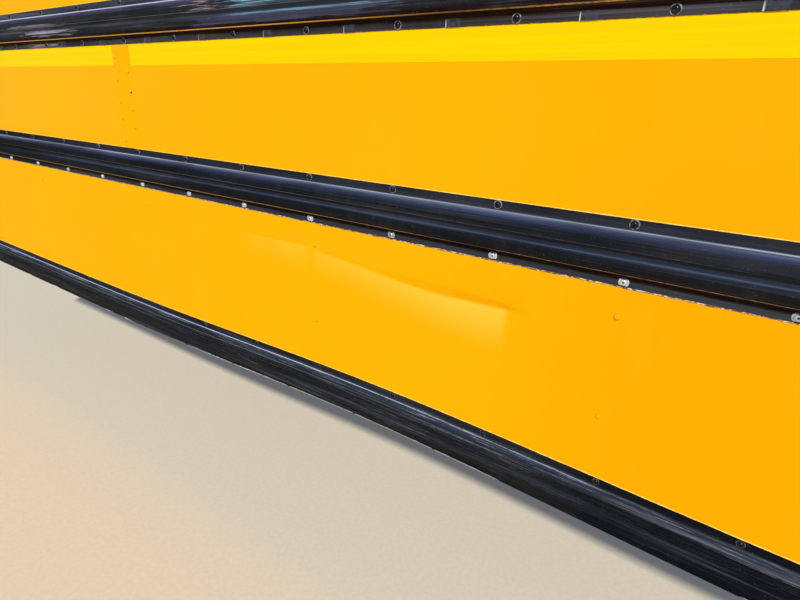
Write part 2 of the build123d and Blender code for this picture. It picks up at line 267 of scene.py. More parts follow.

# Tones of wear, dirt and stains, and painted tones of sheen, highlight and shade
DEEP_YELLOW = (0.955, 0.405, 0.0004)
DENT_HIGHLIGHT_YELLOW = (0.96, 0.590, 0.050)
CREASE_SHADE_YELLOW = (0.93, 0.385, 0.001)
YELLOW_DUST_RUNS = (0.90, 0.50, 0.03)
YELLOW_DUST_SPECKS = (0.74, 0.42, 0.05)
SHEET_BACK = (0.30, 0.31, 0.29)
RAIL_SHADE = (0.005, 0.006, 0.009)
RAIL_SHEEN = (0.078, 0.085, 0.110)
RAIL_DUST_RUNS = (0.16, 0.16, 0.16)
RAIL_DUST_SPECKS = (0.30, 0.29, 0.28)
BARE_EDGE = (0.80, 0.80, 0.80)
PAD_SHEEN = (0.055, 0.068, 0.105)
PAD_GLINT = (0.72, 0.74, 0.78)
CELL_WALLS = (0.93, 0.54, 0.008)
TAPE_FADED = (0.97, 0.62, 0.008)
TAPE_ROLLED = (0.99, 0.74, 0.0)
SCREW_BLACK = (0.004, 0.005, 0.008)
SCREW_RIM_SHADE = (0.012, 0.015, 0.024)
SCREW_RIM_HIGHLIGHT = (0.34, 0.35, 0.43)
SCREW_STAIN = (0.17, 0.17, 0.15)
SCREW_RECESS_SHADE = (0.03, 0.03, 0.035)
ZINC_SPANGLE = (0.66, 0.69, 0.71)
ZINC_BLOOM = (0.52, 0.53, 0.52)
ZINC_DIRT = (0.27, 0.24, 0.20)
UNDERCOAT_DUST = (0.17, 0.15, 0.12)
LINING_STAIN = (0.36, 0.35, 0.31)
LINING_GRIME = (0.22, 0.21, 0.19)
ENAMEL_RUB = (0.36, 0.37, 0.38)
SUNLIGHT = (1.0, 0.975, 0.93)
SKY_LOW = (0.72, 0.75, 0.80)
SKY_HIGH = (0.34, 0.45, 0.74)


# Settings that a user may change


def size_setting(label, says, default):
    """A length in metres."""
    return FloatProperty(name=label, description=says, default=default, unit="LENGTH")


def angle_setting(label, says, degrees):
    """An angle."""
    return FloatProperty(name=label, description=says, default=math.radians(degrees), subtype="ANGLE")


def colour_setting(label, says, default):
    """A colour."""
    return FloatVectorProperty(name=label, description=says, default=default, subtype="COLOR")


def vector_setting(label, says, default):
    """A place or a direction."""
    return FloatVectorProperty(name=label, description=says, default=default, subtype="XYZ")


class WallSizes(bpy.types.PropertyGroup):
    """Sizes of the wall's finish and fastenings."""

    rail_screw_pitch: size_setting("Rail screw pitch", "Between two screws of a rub rail", POST_PITCH / 3)
    rail_screw_inset: size_setting("Rail screw inset", "From a rail's edge to its screw row", 0.008)
    post_line: size_setting("Post line", "From a post's middle to the screws in its flange", 0.031)
    skirt_rail_shift: size_setting("Skirt screw shift", "Skirt rail screws from the post line", 0.018)
    painted_head: size_setting("Painted head", "Diameter of a painted rail screw", 0.0165)
    zinc_head: size_setting("Zinc head", "Diameter of a bare zinc rail screw", 0.0175)
    rivet_head: size_setting("Rivet head", "Diameter of a skin rivet", 0.0115)
    sheet_wave: size_setting("Sheet wave", "Largest bulge of a side sheet in a bay", 0.0007)
    rail_wave: size_setting("Rail wave", "Largest wander of a rub rail", 0.0004)
    skirt_bow: size_setting("Skirt bow", "Rise of the skirt rail where it was struck", 0.0229)
    hem_bow: size_setting("Hem bow", "Further rise of its lower flange and the hem", 0.007)
    bow_place: size_setting("Bow place", "Where along the bus the skirt rail rises most", 0.61)
    bow_run: size_setting("Bow run", "How far the rise runs out", 0.67)
    dent_depth: size_setting("Dent depth", "Depth of the skirt's dent", 0.007)
    pad_width: size_setting("Pad width", "Width of a rail's pressed pads", 0.029)
    pad_height: size_setting("Pad height", "How far a pressed pad stands out", 0.0011)
    tape_cell: size_setting("Tape cell", "Pitch of the reflective tape's cells", 0.0034)
    seed: IntProperty(name="Seed", description="Start of every random draw", default=11)


class WallColours(bpy.types.PropertyGroup):
    """Colours of the wall's finishes."""

    bus_yellow: colour_setting("Bus yellow", "Paint of the sheets", (0.950, 0.466, 0.0012))
    faded_yellow: colour_setting("Faded yellow", "Paint where it has weathered", (0.950, 0.490, 0.004))
    # The two worn rail colours are those of streaks: scratches that carry a painted sheen
    rail_wear_and_sheen: colour_setting("Worn rail", "Rail paint where it is rubbed", (0.24, 0.25, 0.31))
    skirt_wear_and_sheen: colour_setting("Worn skirt rail", "Streaks on the skirt rail", (0.34, 0.38, 0.50))
    tape_yellow: colour_setting("Tape yellow", "Reflective tape", (0.955, 0.665, 0.0012))
    bare_zinc: colour_setting("Bare zinc", "Unpainted screws", (0.67, 0.75, 0.77))
    rust: colour_setting("Rust", "Rusted chips", (0.13, 0.035, 0.008))
    galvanised: colour_setting("Galvanised", "Posts and floor ledge", (0.46, 0.48, 0.49))
    undercoat: colour_setting("Undercoat", "Coating under the floor", (0.022, 0.021, 0.020))
    lining_grey: colour_setting("Lining grey", "Side liners and kick panels", (0.50, 0.52, 0.50))
    seat_rail_grey: colour_setting("Seat rail grey", "Seat rail", (0.20, 0.215, 0.225))
    floor: colour_setting("Floor", "Studio floor", (0.86, 0.75, 0.55))


class StageSettings(bpy.types.PropertyGroup):
    """Camera, lights and floor."""

    camera_place: vector_setting("Camera place", "Where the camera stands", (1.2730, -0.9466, 0.2147))
    camera_yaw: angle_setting("Camera yaw", "Turn to the left of the wall's normal", 34.729)
    camera_pitch: angle_setting("Camera pitch", "Look below the horizon", 20.292)
    camera_roll: angle_setting("Camera roll", "Turn about the view", 2.226)
    lens: FloatProperty(name="Lens", description="Focal length on a 36 mm frame, in mm", default=23.965)
    floor_level: size_setting("Floor level", "Height of the studio floor", -0.965)
    floor_reach: size_setting("Floor reach", "From the studio floor's middle to its sides", 30.0)
    key_direction: vector_setting("Key direction", "Way the key light travels", (-0.307, 0.695, -0.650))
    key_strength: FloatProperty(name="Key strength", description="Key light, as a sun", default=2.8)
    key_angle: angle_setting("Key angle", "Size of the key light", 3.0)
    sky_strength: FloatProperty(name="Sky strength", description="Light from all round", default=0.42)


def wall_sizes():
    """The sizes as a user has set them."""
    return bpy.context.scene.wall_sizes


def wall_colours():
    """The colours as a user has set them."""
    return bpy.context.scene.wall_colours


# Shader node helpers: each adds its node to the tree of the socket that it is given


def give(socket, value):
    """Feeds a socket from another one, or sets its value."""
    if isinstance(value, bpy.types.NodeSocket):
        socket.id_data.links.new(value, socket)
    else:
        socket.default_value = value


def put(tree, kind, inputs=None, **settings):
    """Adds one node; inputs holds its input values or the sockets that feed them."""
    made = tree.nodes.new(kind)
    for key, value in settings.items():
        setattr(made, key, value)
    for key, value in (inputs or {}).items():
        give(made.inputs[key], value)
    return made


def maths(operation, first, second=0.0, clamp=False):
    """Output of one Math node."""
    tree = next(value.id_data for value in (first, second) if isinstance(value, bpy.types.NodeSocket))
    return put(tree, "ShaderNodeMath", {0: first, 1: second}, operation=operation, use_clamp=clamp).outputs[0]


def product(first, *others, clamp=False):
    """All the values multiplied together."""
    for other in others:
        first = maths("MULTIPLY", first, other, clamp)
    return first


def added(first, second, clamp=False):
    """The sum of two values."""
    return maths("ADD", first, second, clamp)


def highest(first, second):
    """The higher of two values."""
    return maths("MAXIMUM", first, second)


def without(share, clamp=False):
    """What is left of 1."""
    return maths("SUBTRACT", 1.0, share, clamp)


def noise(vector, scale, detail=3.0, rough=0.5, warp=0.0):
    """Grey output of a Noise Texture. A scale for each axis draws its pattern out in a direction."""
    tree = vector.id_data
    if not isinstance(scale, (float, bpy.types.NodeSocketFloat)):
        vector = put(tree, "ShaderNodeVectorMath", {0: vector, 1: scale}, operation="MULTIPLY").outputs[0]
        scale = 1.0
    inputs = {"Vector": vector, "Scale": scale, "Detail": detail, "Roughness": rough, "Distortion": warp}
    return put(tree, "ShaderNodeTexNoise", inputs).outputs[0]


def ramp(value, low, high, out_low=0.0, out_high=1.0, smooth=True):
    """The value mapped from low to high onto the output range, clamped."""
    inputs = {"Value": value, "From Min": low, "From Max": high, "To Min": out_low, "To Max": out_high}
    way = "SMOOTHSTEP" if smooth else "LINEAR"
    return put(value.id_data, "ShaderNodeMapRange", inputs, interpolation_type=way).outputs[0]


def between(value, low, high, soft):
    """Mask that is 1 from low to high and fades out over the soft width beyond them."""
    return product(ramp(value, low - soft, low), ramp(value, high + soft, high))


def rgba(colour):
    """The colour with a full alpha."""
    return (*colour[:3], 1.0)


def colour_bands(value, stops):
    """Colour read from stops of (place, colour)."""
    made = put(value.id_data, "ShaderNodeValToRGB", {0: value})
    band = made.color_ramp
    for place, _ in stops[1:-1]:
        band.elements.new(place)
    for element, (place, colour) in zip(band.elements, stops):
        element.position = place
        element.color = rgba(colour)
    return made.outputs[0]


def blended(share, first, second):
    """Colour between first and second."""
    made = put(share.id_data, "ShaderNodeMix", {0: share}, data_type="RGBA")
    for place, value in ((6, first), (7, second)):
        give(made.inputs[place], value if isinstance(value, bpy.types.NodeSocket) else rgba(value))
    return made.outputs[2]


def attribute(shader, name):
    """Share that the piece's mesh carries under a name."""
    return put(shader.id_data, "ShaderNodeAttribute", attribute_name=name).outputs["Fac"]


def axes_of(vector):
    """The vector's X, Y and Z."""
    return put(vector.id_data, "ShaderNodeSeparateXYZ", {0: vector}).outputs


def bump(height, strength, distance, normal=None):
    """Normal of a Bump node, over another one if it is given."""
    inputs = {"Height": height, "Strength": strength, "Distance": distance}
    if normal is not None:
        inputs["Normal"] = normal
    return put(height.id_data, "ShaderNodeBump", inputs).outputs[0]


def spot(vector, centre, radius, ragged):
    """Mask of one ragged spot on the surface."""
    apart = put(vector.id_data, "ShaderNodeVectorMath", {0: vector, 1: centre}, operation="DISTANCE")
    wobble = product(noise(vector, 700.0, 2.0), ragged)
    reach = added(apart.outputs["Value"], wobble)
    return ramp(reach, radius + ragged * 0.5, radius * 0.6 + ragged * 0.5)


def shader_group(name, values, outputs, build):
    """A node group of grey effects, built once. Its inputs are a vector and the named values, with their
    defaults; build is given these sockets in that order and returns the sources of the outputs."""
    if name in bpy.data.node_groups:
        return bpy.data.node_groups[name]
    tree = bpy.data.node_groups.new(name, "ShaderNodeTree")
    tree.interface.new_socket(name="Vector", in_out="INPUT", socket_type="NodeSocketVector")
    for label, value in values.items():
        socket = tree.interface.new_socket(name=label, in_out="INPUT", socket_type="NodeSocketFloat")
        socket.default_value = value
    for label in outputs:
        tree.interface.new_socket(name=label, in_out="OUTPUT", socket_type="NodeSocketFloat")
    given = tree.nodes.new("NodeGroupInput").outputs
    end = tree.nodes.new("NodeGroupOutput")
    for label, source in zip(outputs, build(given["Vector"], *(given[label] for label in values))):
        give(end.inputs[label], source)
    return tree


def use_group(group, vector, values):
    """Places a shader group in the vector's material and returns its outputs."""
    return put(vector.id_data, "ShaderNodeGroup", {"Vector": vector, **values}, node_tree=group).outputs


def paint_skin_group():
    """Sprayed paint: orange peel height and slow mottling."""

    def build(vector, peel_scale, mottle_scale):
        peel = noise(vector, peel_scale, 2.0, 0.45)
        slow = noise(vector, mottle_scale, 4.0, 0.6, 0.4)
        return peel, ramp(slow, 0.3, 0.72)

    return shader_group("Paint skin", {"Peel scale": 420.0, "Mottle scale": 3.0}, ("Peel", "Mottle"), build)


def road_film_group():
    """Dust and dried runs: mask of pale film drawn out downwards, and specks."""

    def build(vector, amount, specks):
        runs = noise(vector, (38.0, 38.0, 2.2), 4.0, 0.65)
        cloud = noise(vector, 5.5, 5.0, 0.6, 0.6)
        dots = ramp(noise(vector, 260.0, 2.0, 0.5), 0.66, 0.74)
        film = product(ramp(runs, 0.42, 0.78), ramp(cloud, 0.35, 0.7))
        return product(film, amount, clamp=True), product(dots, specks, clamp=True)

    return shader_group("Road film", {"Amount": 0.5, "Specks": 0.3}, ("Film", "Specks"), build)


def rub_marks_group():
    """Scuffs along the bus: fine streaks broken into patches."""

    def build(vector, amount, run):
        scale = put(vector.id_data, "ShaderNodeCombineXYZ", {0: run, 1: 420.0, 2: 420.0}).outputs[0]
        fine = noise(vector, scale, 3.0, 0.7)
        broad = noise(vector, (1.4, 90.0, 90.0), 3.0, 0.6)
        patch = noise(vector, (2.0, 12.0, 12.0), 3.0, 0.6)
        lines = added(ramp(fine, 0.52, 0.7), ramp(broad, 0.5, 0.72))
        kept = product(lines, ramp(patch, 0.38, 0.66))
        return product(kept, amount, clamp=True), fine

    return shader_group("Rub marks", {"Amount": 0.5, "Run": 2.6}, ("Scuff", "Relief"), build)


def spangle_group():
    """Hot-dip zinc: crystals of differing shade and gloss."""

    def build(vector, scale):
        tree = vector.id_data
        cells = put(tree, "ShaderNodeTexVoronoi", {"Vector": vector, "Scale": scale, "Randomness": 1.0})
        shade = put(tree, "ShaderNodeSeparateColor", {0: cells.outputs["Color"]}).outputs[0]
        return shade, ramp(noise(vector, 9.0, 4.0, 0.6), 0.42, 0.7)

    return shader_group("Zinc spangle", {"Scale": 85.0}, ("Shade", "Bloom"), build)


def new_material(name):
    """Empty material: returns it with its Principled shader and its object coordinates."""
    material = bpy.data.materials.new(name)
    material.use_nodes = True
    shader = material.node_tree.nodes["Principled BSDF"]
    return material, shader, put(material.node_tree, "ShaderNodeTexCoord").outputs["Object"]


def feed(shader, **sockets):
    """Links or sets the shader's sockets; an underscore stands for a space."""
    for key, value in sockets.items():
        give(shader.inputs[key.replace("_", " ")], value)


# Finishes


def yellow_paint(name, chip_at=None, struck=False, gloss=0.015, coat=0.025, back=SHEET_BACK):
    """Bus yellow: sprayed paint with slow mottling, dust, a deeper tone towards the right end and lower down,
    and, if asked, a rusted chip, or on struck paint a painted highlight below each dent's deepest line and
    painted shade along its crease.

    gloss and coat are the strengths of its two sheens, and back the colour of a sheet's inner face."""
    colours = wall_colours()
    material, shader, vector = new_material(name)
    skin = use_group(paint_skin_group(), vector, {"Peel scale": 380.0, "Mottle scale": 2.6})
    film = use_group(road_film_group(), vector, {"Amount": 0.35, "Specks": 0.10})
    x, _, z = axes_of(vector)
    # Deeper yellow towards the right end and lower down
    deeper_right_low = product(ramp(x, 0.75, 1.25), ramp(z, 0.38, -0.08, 0.30, 0.75))
    colour = blended(product(skin["Mottle"], 0.6), colours.bus_yellow, colours.faded_yellow)
    colour = blended(deeper_right_low, colour, DEEP_YELLOW)
    colour = blended(product(film["Film"], 0.25), colour, YELLOW_DUST_RUNS)
    colour = blended(film["Specks"], colour, YELLOW_DUST_SPECKS)
    if struck:
        # Painted highlight on the ramp below each dent's deepest line, and painted shade along its crease
        for mark, tone in (("dent_highlight", DENT_HIGHLIGHT_YELLOW), ("crease", CREASE_SHADE_YELLOW)):
            share = product(attribute(shader, mark), ramp(skin["Peel"], 0.2, 0.7, 0.85, 1.0))
            colour = blended(share, colour, tone)
    roughness = ramp(skin["Mottle"], 0.0, 1.0, 0.36, 0.46)
    if chip_at is not None:
        chip = spot(vector, chip_at, 0.0034, 0.0026)
        colour = blended(chip, colour, colours.rust)
        roughness = added(roughness, product(chip, 0.5), clamp=True)
    inner = attribute(shader, "inner")
    thin = ramp(noise(vector, 11.0, 5.0, 0.65), 0.50, 0.74)
    stipple = ramp(noise(vector, 240.0, 3.0, 0.6), 0.35, 0.65)
    dusty = blended(product(thin, stipple), back, [0.10 + 0.6 * tone for tone in back])
    colour = blended(inner, colour, dusty)
    roughness = added(roughness, product(inner, 0.4), clamp=True)
    slow = noise(vector, 9.0, 2.0, 0.4)
    normal = bump(slow, 0.08, 0.004, bump(skin["Peel"], 0.07, 0.0004))
    normal = bump(product(stipple, inner), 0.3, 0.0008, normal)
    feed(shader, Base_Color=colour, Roughness=roughness, Normal=normal, Specular_IOR_Level=gloss)
    feed(shader, Coat_Weight=ramp(film["Film"], 0.0, 1.0, coat, coat * 0.4), Coat_Roughness=0.14)
    return material


def with_painted_highlight_lines(colour, x, drop, strength, glints, lines):
    """The colour with painted highlights and reflections: thin lines along the bends, unbroken and brighter
    towards the far end.
    """
    far = ramp(x, 1.1, 0.2)
    kept = highest(ramp(strength, 0.34, 0.62), far)
    broken = highest(product(kept, ramp(glints, 0.36, 0.56, 0.35, 1.0)), product(far, 0.85))
    for centre, half_width, tone in lines:
        line = between(drop, centre - half_width / 2, centre + half_width / 2, half_width / 2)
        lit_tone = blended(far, tone, [min(1.0, value * 1.7) for value in tone])
        colour = blended(product(line, broken), colour, lit_tone)
    return colour


def with_painted_reflections(colour, vector, relief, reflections):
    """The colour under painted reflections, laid in smear-like patches with ragged ends and streaks along the
    bus.
    """
    x, _, z = axes_of(vector)
    ragged = maths("SUBTRACT", noise(vector, (8.0, 210.0, 210.0), 3.0, 0.6), 0.5)
    along = added(x, product(ragged, 0.5))
    level = added(z, product(ragged, 0.012))
    for tone, solid, first, last, low, high in reflections:
        streak = ramp(relief, 0.44, 0.60, solid, 1.0)
        here = product(between(along, first, last, 0.03), between(level, low, high, 0.0015))
        colour = blended(product(here, streak), colour, tone)
    return colour


def bare_lower_edge(vector, drop, pad):
    """Mask of a rail's lower edge where it is rubbed bare, most of all where it was struck."""
    x = axes_of(vector)[0]
    chips = noise(vector, (60.0, 260.0, 260.0), 3.0, 0.7)
    bare = ramp(added(drop, product(chips, 0.07)), 1.008, 1.017)
    patches = ramp(noise(vector, (7.0, 1.0, 1.0), 2.0, 0.5), 0.56, 0.62)
    struck = product(ramp(x, 0.86, 0.80), ramp(x, -0.35, 0.10, 0.25, 1.0))
    return product(bare, without(pad, clamp=True), highest(patches, struck), 0.65)


def rail_paint(
    name, bands, streaks, worn, run, scuff, relief, lines, reflections=(), dimmed=(), bright_edge=False
):
    """Rub rail black, with painted highlights, reflections and shade along its bends, scuffs, dust and, if
    asked, a worn lower edge.

    worn is the colour of its streaks, scratches that carry a painted sheen, and run how many of them follow
    each other in a metre. The painted reflections are laid in smear-like patches, each given as (colour, solid
    share, first and last place along the bus, lowest and highest level). dimmed holds the stretches where its
    faces are painted darker as shade: where each starts, where it is darkest, and how dark."""
    material, shader, vector = new_material(name)
    drop, pad, painted_pad_glint = (attribute(shader, mark) for mark in ("drop", "pad", "pad_glint_side"))
    x = axes_of(vector)[0]
    marks = use_group(rub_marks_group(), vector, {"Amount": 1.0, "Run": run})
    film = use_group(road_film_group(), vector, {"Amount": 0.8, "Specks": 0.3})
    skin = use_group(paint_skin_group(), vector, {"Peel scale": 520.0, "Mottle scale": 6.0})
    strength = noise(vector, (3.5, 30.0, 30.0), 3.0, 0.6)
    glints = noise(vector, (110.0, 500.0, 500.0), 2.0, 0.6)
    # Painted shade: the painted highlights broken off at random and along the scratches, and the faces
    # darkened along the given stretches
    highlight_gaps = ramp(marks["Relief"], 0.52, 0.36, 0.0, 0.5)
    dark = highest(ramp(strength, 0.32, 0.62, 0.6, 0.0), highlight_gaps)
    off_shoulder = without(between(drop, 0.16, 0.25, 0.03))
    clear = []
    for start, end, share in dimmed:
        dim = product(ramp(x, start, end, 0.0, share), off_shoulder)
        dark = highest(dark, dim)
        clear.append(without(product(dim, 0.8)))
    # The black paint takes its painted highlights, reflections and shade from its drop below the top edge
    colour = blended(dark, colour_bands(drop, bands), RAIL_SHADE)
    # Painted highlights and reflections as thin lines along the bends
    colour = with_painted_highlight_lines(colour, x, drop, strength, glints, lines)
    if bright_edge:
        # Painted sheen on the skirt rail's face towards its right end
        near_sheen = product(ramp(x, 0.95, 1.30), between(drop, 0.235, 0.270, 0.03))
        near_sheen = product(near_sheen, ramp(marks["Relief"], 0.40, 0.60, 0.25, 1.0))
        colour = blended(near_sheen, colour, RAIL_SHEEN)
    # Fine scratches that carry a painted sheen, strongest on the shoulder
    streaks_with_sheen = product(
        ramp(marks["Relief"], 0.54, 0.64),
        colour_bands(drop, [(place, (share,) * 3) for place, share in streaks]),
        ramp(glints, 0.38, 0.60, 0.45, 1.0),
        ramp(strength, 0.36, 0.56, 0.35, 1.0),
        *clear,
    )
    # Scuffs, and streaks with their painted sheen, take the streak colour
    rubbed = highest(product(marks["Scuff"], scuff, clamp=True), streaks_with_sheen)
    # Scuffs and streaks, then painted reflections laid in smear-like patches
    colour = with_painted_reflections(blended(rubbed, colour, worn), vector, marks["Relief"], reflections)
    colour = blended(product(film["Film"], 0.08), colour, RAIL_DUST_RUNS)
    colour = blended(product(film["Specks"], 0.35), colour, RAIL_DUST_SPECKS)
    if bright_edge:
        colour = blended(bare_lower_edge(vector, drop, pad), colour, BARE_EDGE)
    else:
        # Painted sheen on the pads and a painted glint down one side of each
        patchy = ramp(noise(vector, 130.0, 3.0, 0.6), 0.36, 0.62, 0.15, 0.8)
        colour = blended(product(pad, patchy), colour, PAD_SHEEN)
        colour = blended(painted_pad_glint, colour, PAD_GLINT)
    roughness = added(ramp(rubbed, 0.0, 1.0, 0.34, 0.55), product(film["Film"], 0.14), clamp=True)
    normal = bump(marks["Relief"], relief, 0.0003, bump(skin["Peel"], 0.06, 0.0003))
    feed(shader, Base_Color=colour, Roughness=roughness, Normal=normal, Specular_IOR_Level=0.004)
    return material


def tape_film(name):
    """Reflective tape: saturated yellow film over a fine diagonal lattice of cells."""
    material, shader, vector = new_material(name)
    diagonal = {"Vector": vector, "Rotation": (0.0, math.radians(45.0), 0.0)}
    x, _, z = axes_of(put(vector.id_data, "ShaderNodeMapping", diagonal).outputs[0])
    turns = 1.0 / wall_sizes().tape_cell * 2.0 * math.pi
    lattice = highest(*(ramp(maths("SINE", product(axis, turns)), 0.55, 1.0) for axis in (x, z)))
    faded = noise(vector, (3.0, 20.0, 20.0))
    rolled = noise(vector, (0.9, 1.0, 95.0), 2.0, 0.5)
    colour = blended(product(lattice, 0.18), wall_colours().tape_yellow, CELL_WALLS)
    colour = blended(ramp(faded, 0.45, 0.75, 0.0, 0.14), colour, TAPE_FADED)
    colour = blended(ramp(rolled, 0.42, 0.66, 0.0, 0.55), colour, TAPE_ROLLED)
    feed(shader, Base_Color=colour, Normal=bump(lattice, 0.10, 0.0002), Specular_IOR_Level=0.015)
    feed(shader, Roughness=ramp(lattice, 0.0, 1.0, 0.38, 0.5), Coat_Weight=0.01, Coat_Roughness=0.12)
    return material


def painted_screw(name, rubbed):
    """Black screw with a painted highlight on its rim, as strong as the share given."""
    material, shader, vector = new_material(name)
    ragged = ramp(noise(vector, 190.0, 3.0, 0.6), 0.42, 0.60, 0.12, 1.0)
    # Painted highlight on the rim, broken at random
    worn = product(attribute(shader, "rim"), ragged, rubbed)
    feed(shader, Base_Color=blended(worn, SCREW_BLACK, SCREW_RIM_HIGHLIGHT), Roughness=ramp(worn, 0.0, 1.0, 0.22, 0.45))
    feed(shader, Normal=bump(ragged, 0.12, 0.0002), Specular_IOR_Level=0.3)
    return material


def zinc_screw(name, row=None):
    """Zinc screw: pale bloom that differs from screw to screw, with painted shade in its recess.

    Where the level of its row is given, its upper and lower rim are painted dark as shade, in the tone of old
    black paint."""
    material, shader, vector = new_material(name)
    # Painted shade in the recess
    shaded_parts = attribute(shader, "recess")
    patch = ramp(noise(vector, 260.0, 4.0, 0.65), 0.42, 0.70)
    dull = ramp(noise(vector, (6.1, 1.0, 1.0), 1.0, 0.4), 0.46, 0.60, 0.08, 1.0)
    stained = highest(product(dull, 0.45), product(patch, dull))
    colour = blended(stained, wall_colours().bare_zinc, SCREW_STAIN)
    colour = blended(shaded_parts, colour, SCREW_RECESS_SHADE)
    if row is not None:
        # Painted shade on the upper and lower rim, leaving a band of bare zinc
        level = added(axes_of(vector)[2], ramp(noise(vector, 380.0, 2.0), 0.3, 0.7, -0.0012, 0.0012))
        painted = without(between(level, row - 0.0052, row + 0.0046, 0.0007))
        colour = blended(painted, colour, SCREW_RIM_SHADE)
        shaded_parts = highest(shaded_parts, painted)
    feed(shader, Base_Color=colour, Roughness=ramp(patch, 0.0, 1.0, 0.32, 0.55))
    feed(shader, Metallic=ramp(shaded_parts, 0.0, 1.0, 0.5, 0.0), Normal=bump(patch, 0.25, 0.0003))
    return material


def galvanised_steel(name, scale, dirt):
    """Galvanised sheet: spangled zinc, dulled and stained."""
    material, shader, vector = new_material(name)
    zinc = use_group(spangle_group(), vector, {"Scale": scale})
    film = use_group(road_film_group(), vector, {"Amount": dirt, "Specks": 0.2})
    dull = ramp(zinc["Shade"], 0.0, 1.0, 0.0, 0.34, smooth=False)
    colour = blended(dull, wall_colours().galvanised, ZINC_SPANGLE)
    colour = blended(product(zinc["Bloom"], 0.4), colour, ZINC_BLOOM)
    colour = blended(film["Film"], colour, ZINC_DIRT)
    roughness = ramp(zinc["Shade"], 0.0, 1.0, 0.30, 0.52, smooth=False)
    metallic = ramp(highest(zinc["Bloom"], film["Film"]), 0.0, 1.0, 0.9, 0.35)
    normal = bump(zinc["Shade"], 0.06, 0.0002)
    feed(shader, Base_Color=colour, Roughness=roughness, Metallic=metallic, Normal=normal)
    return material


def underbody_coating(name):
    """Sprayed undercoat: thick black stipple with dust in its hollows."""
    material, shader, vector = new_material(name)
    stipple = noise(vector, 260.0, 4.0, 0.6)
    dust = ramp(noise(vector, 7.0, 5.0, 0.6), 0.45, 0.75)
    settled = product(dust, added(ramp(stipple, 0.5, 0.3), 0.25))
    feed(shader, Base_Color=blended(settled, wall_colours().undercoat, UNDERCOAT_DUST))
    feed(shader, Roughness=ramp(dust, 0.0, 1.0, 0.55, 0.9), Normal=bump(stipple, 0.55, 0.0012))
    return material


def lining_sheet(name, scale, relief):
    """Interior sheet: satin coat over an embossed pebble grain, with slow stains."""
    material, shader, vector = new_material(name)
    cells = {"Vector": vector, "Scale": scale}
    pebble = put(vector.id_data, "ShaderNodeTexVoronoi", cells, feature="SMOOTH_F1").outputs["Distance"]
    stain = ramp(noise(vector, (6.0, 6.0, 1.6), 5.0, 0.6), 0.45, 0.75)
    grime = ramp(noise(vector, 60.0, 4.0, 0.6), 0.55, 0.8)
    tint = blended(product(stain, 0.28), wall_colours().lining_grey, LINING_STAIN)
    tint = blended(product(grime, 0.12), tint, LINING_GRIME)
    feed(shader, Base_Color=tint, Roughness=ramp(stain, 0.0, 1.0, 0.36, 0.55))
    feed(shader, Metallic=ramp(stain, 0.0, 1.0, 0.25, 0.1), Normal=bump(pebble, relief, 0.0006))
    return material


def satin_enamel(name):
    """Satin enamel with hand rub and small chips."""
    colours = wall_colours()
    material, shader, vector = new_material(name)
    scuff = use_group(rub_marks_group(), vector, {"Amount": 0.5})["Scuff"]
    chips = ramp(noise(vector, 190.0, 4.0, 0.7), 0.735, 0.75)
    shade = blended(product(scuff, 0.4), colours.seat_rail_grey, ENAMEL_RUB)
    shade = blended(chips, shade, colours.galvanised)
    feed(shader, Base_Color=shade, Roughness=ramp(scuff, 0.0, 1.0, 0.34, 0.5))
    feed(shader, Normal=bump(noise(vector, 420.0, 2.0), 0.1, 0.0003))
    return material


def edge_sealant(name, tones, pale_share):
    """Old seam sealer: pale, tinted by dust and overspray, and cracked, with a tone for each."""
    pale, tint, crack = tones
    material, shader, vector = new_material(name)
    patch = noise(vector, (150.0, 240.0, 240.0), 3.0, 0.7)
    gaps = noise(vector, (110.0, 260.0, 260.0), 4.0, 0.7, 0.5)
    colour = blended(ramp(patch, 0.5 - pale_share / 4, 0.5 + pale_share / 4), tint, pale)
    colour = blended(ramp(gaps, 0.47, 0.53, 0.0, 0.9), colour, crack)
    feed(shader, Base_Color=colour, Roughness=ramp(patch, 0.3, 0.7, 0.6, 0.85))
    feed(shader, Normal=bump(patch, 0.5, 0.0008))
    return material


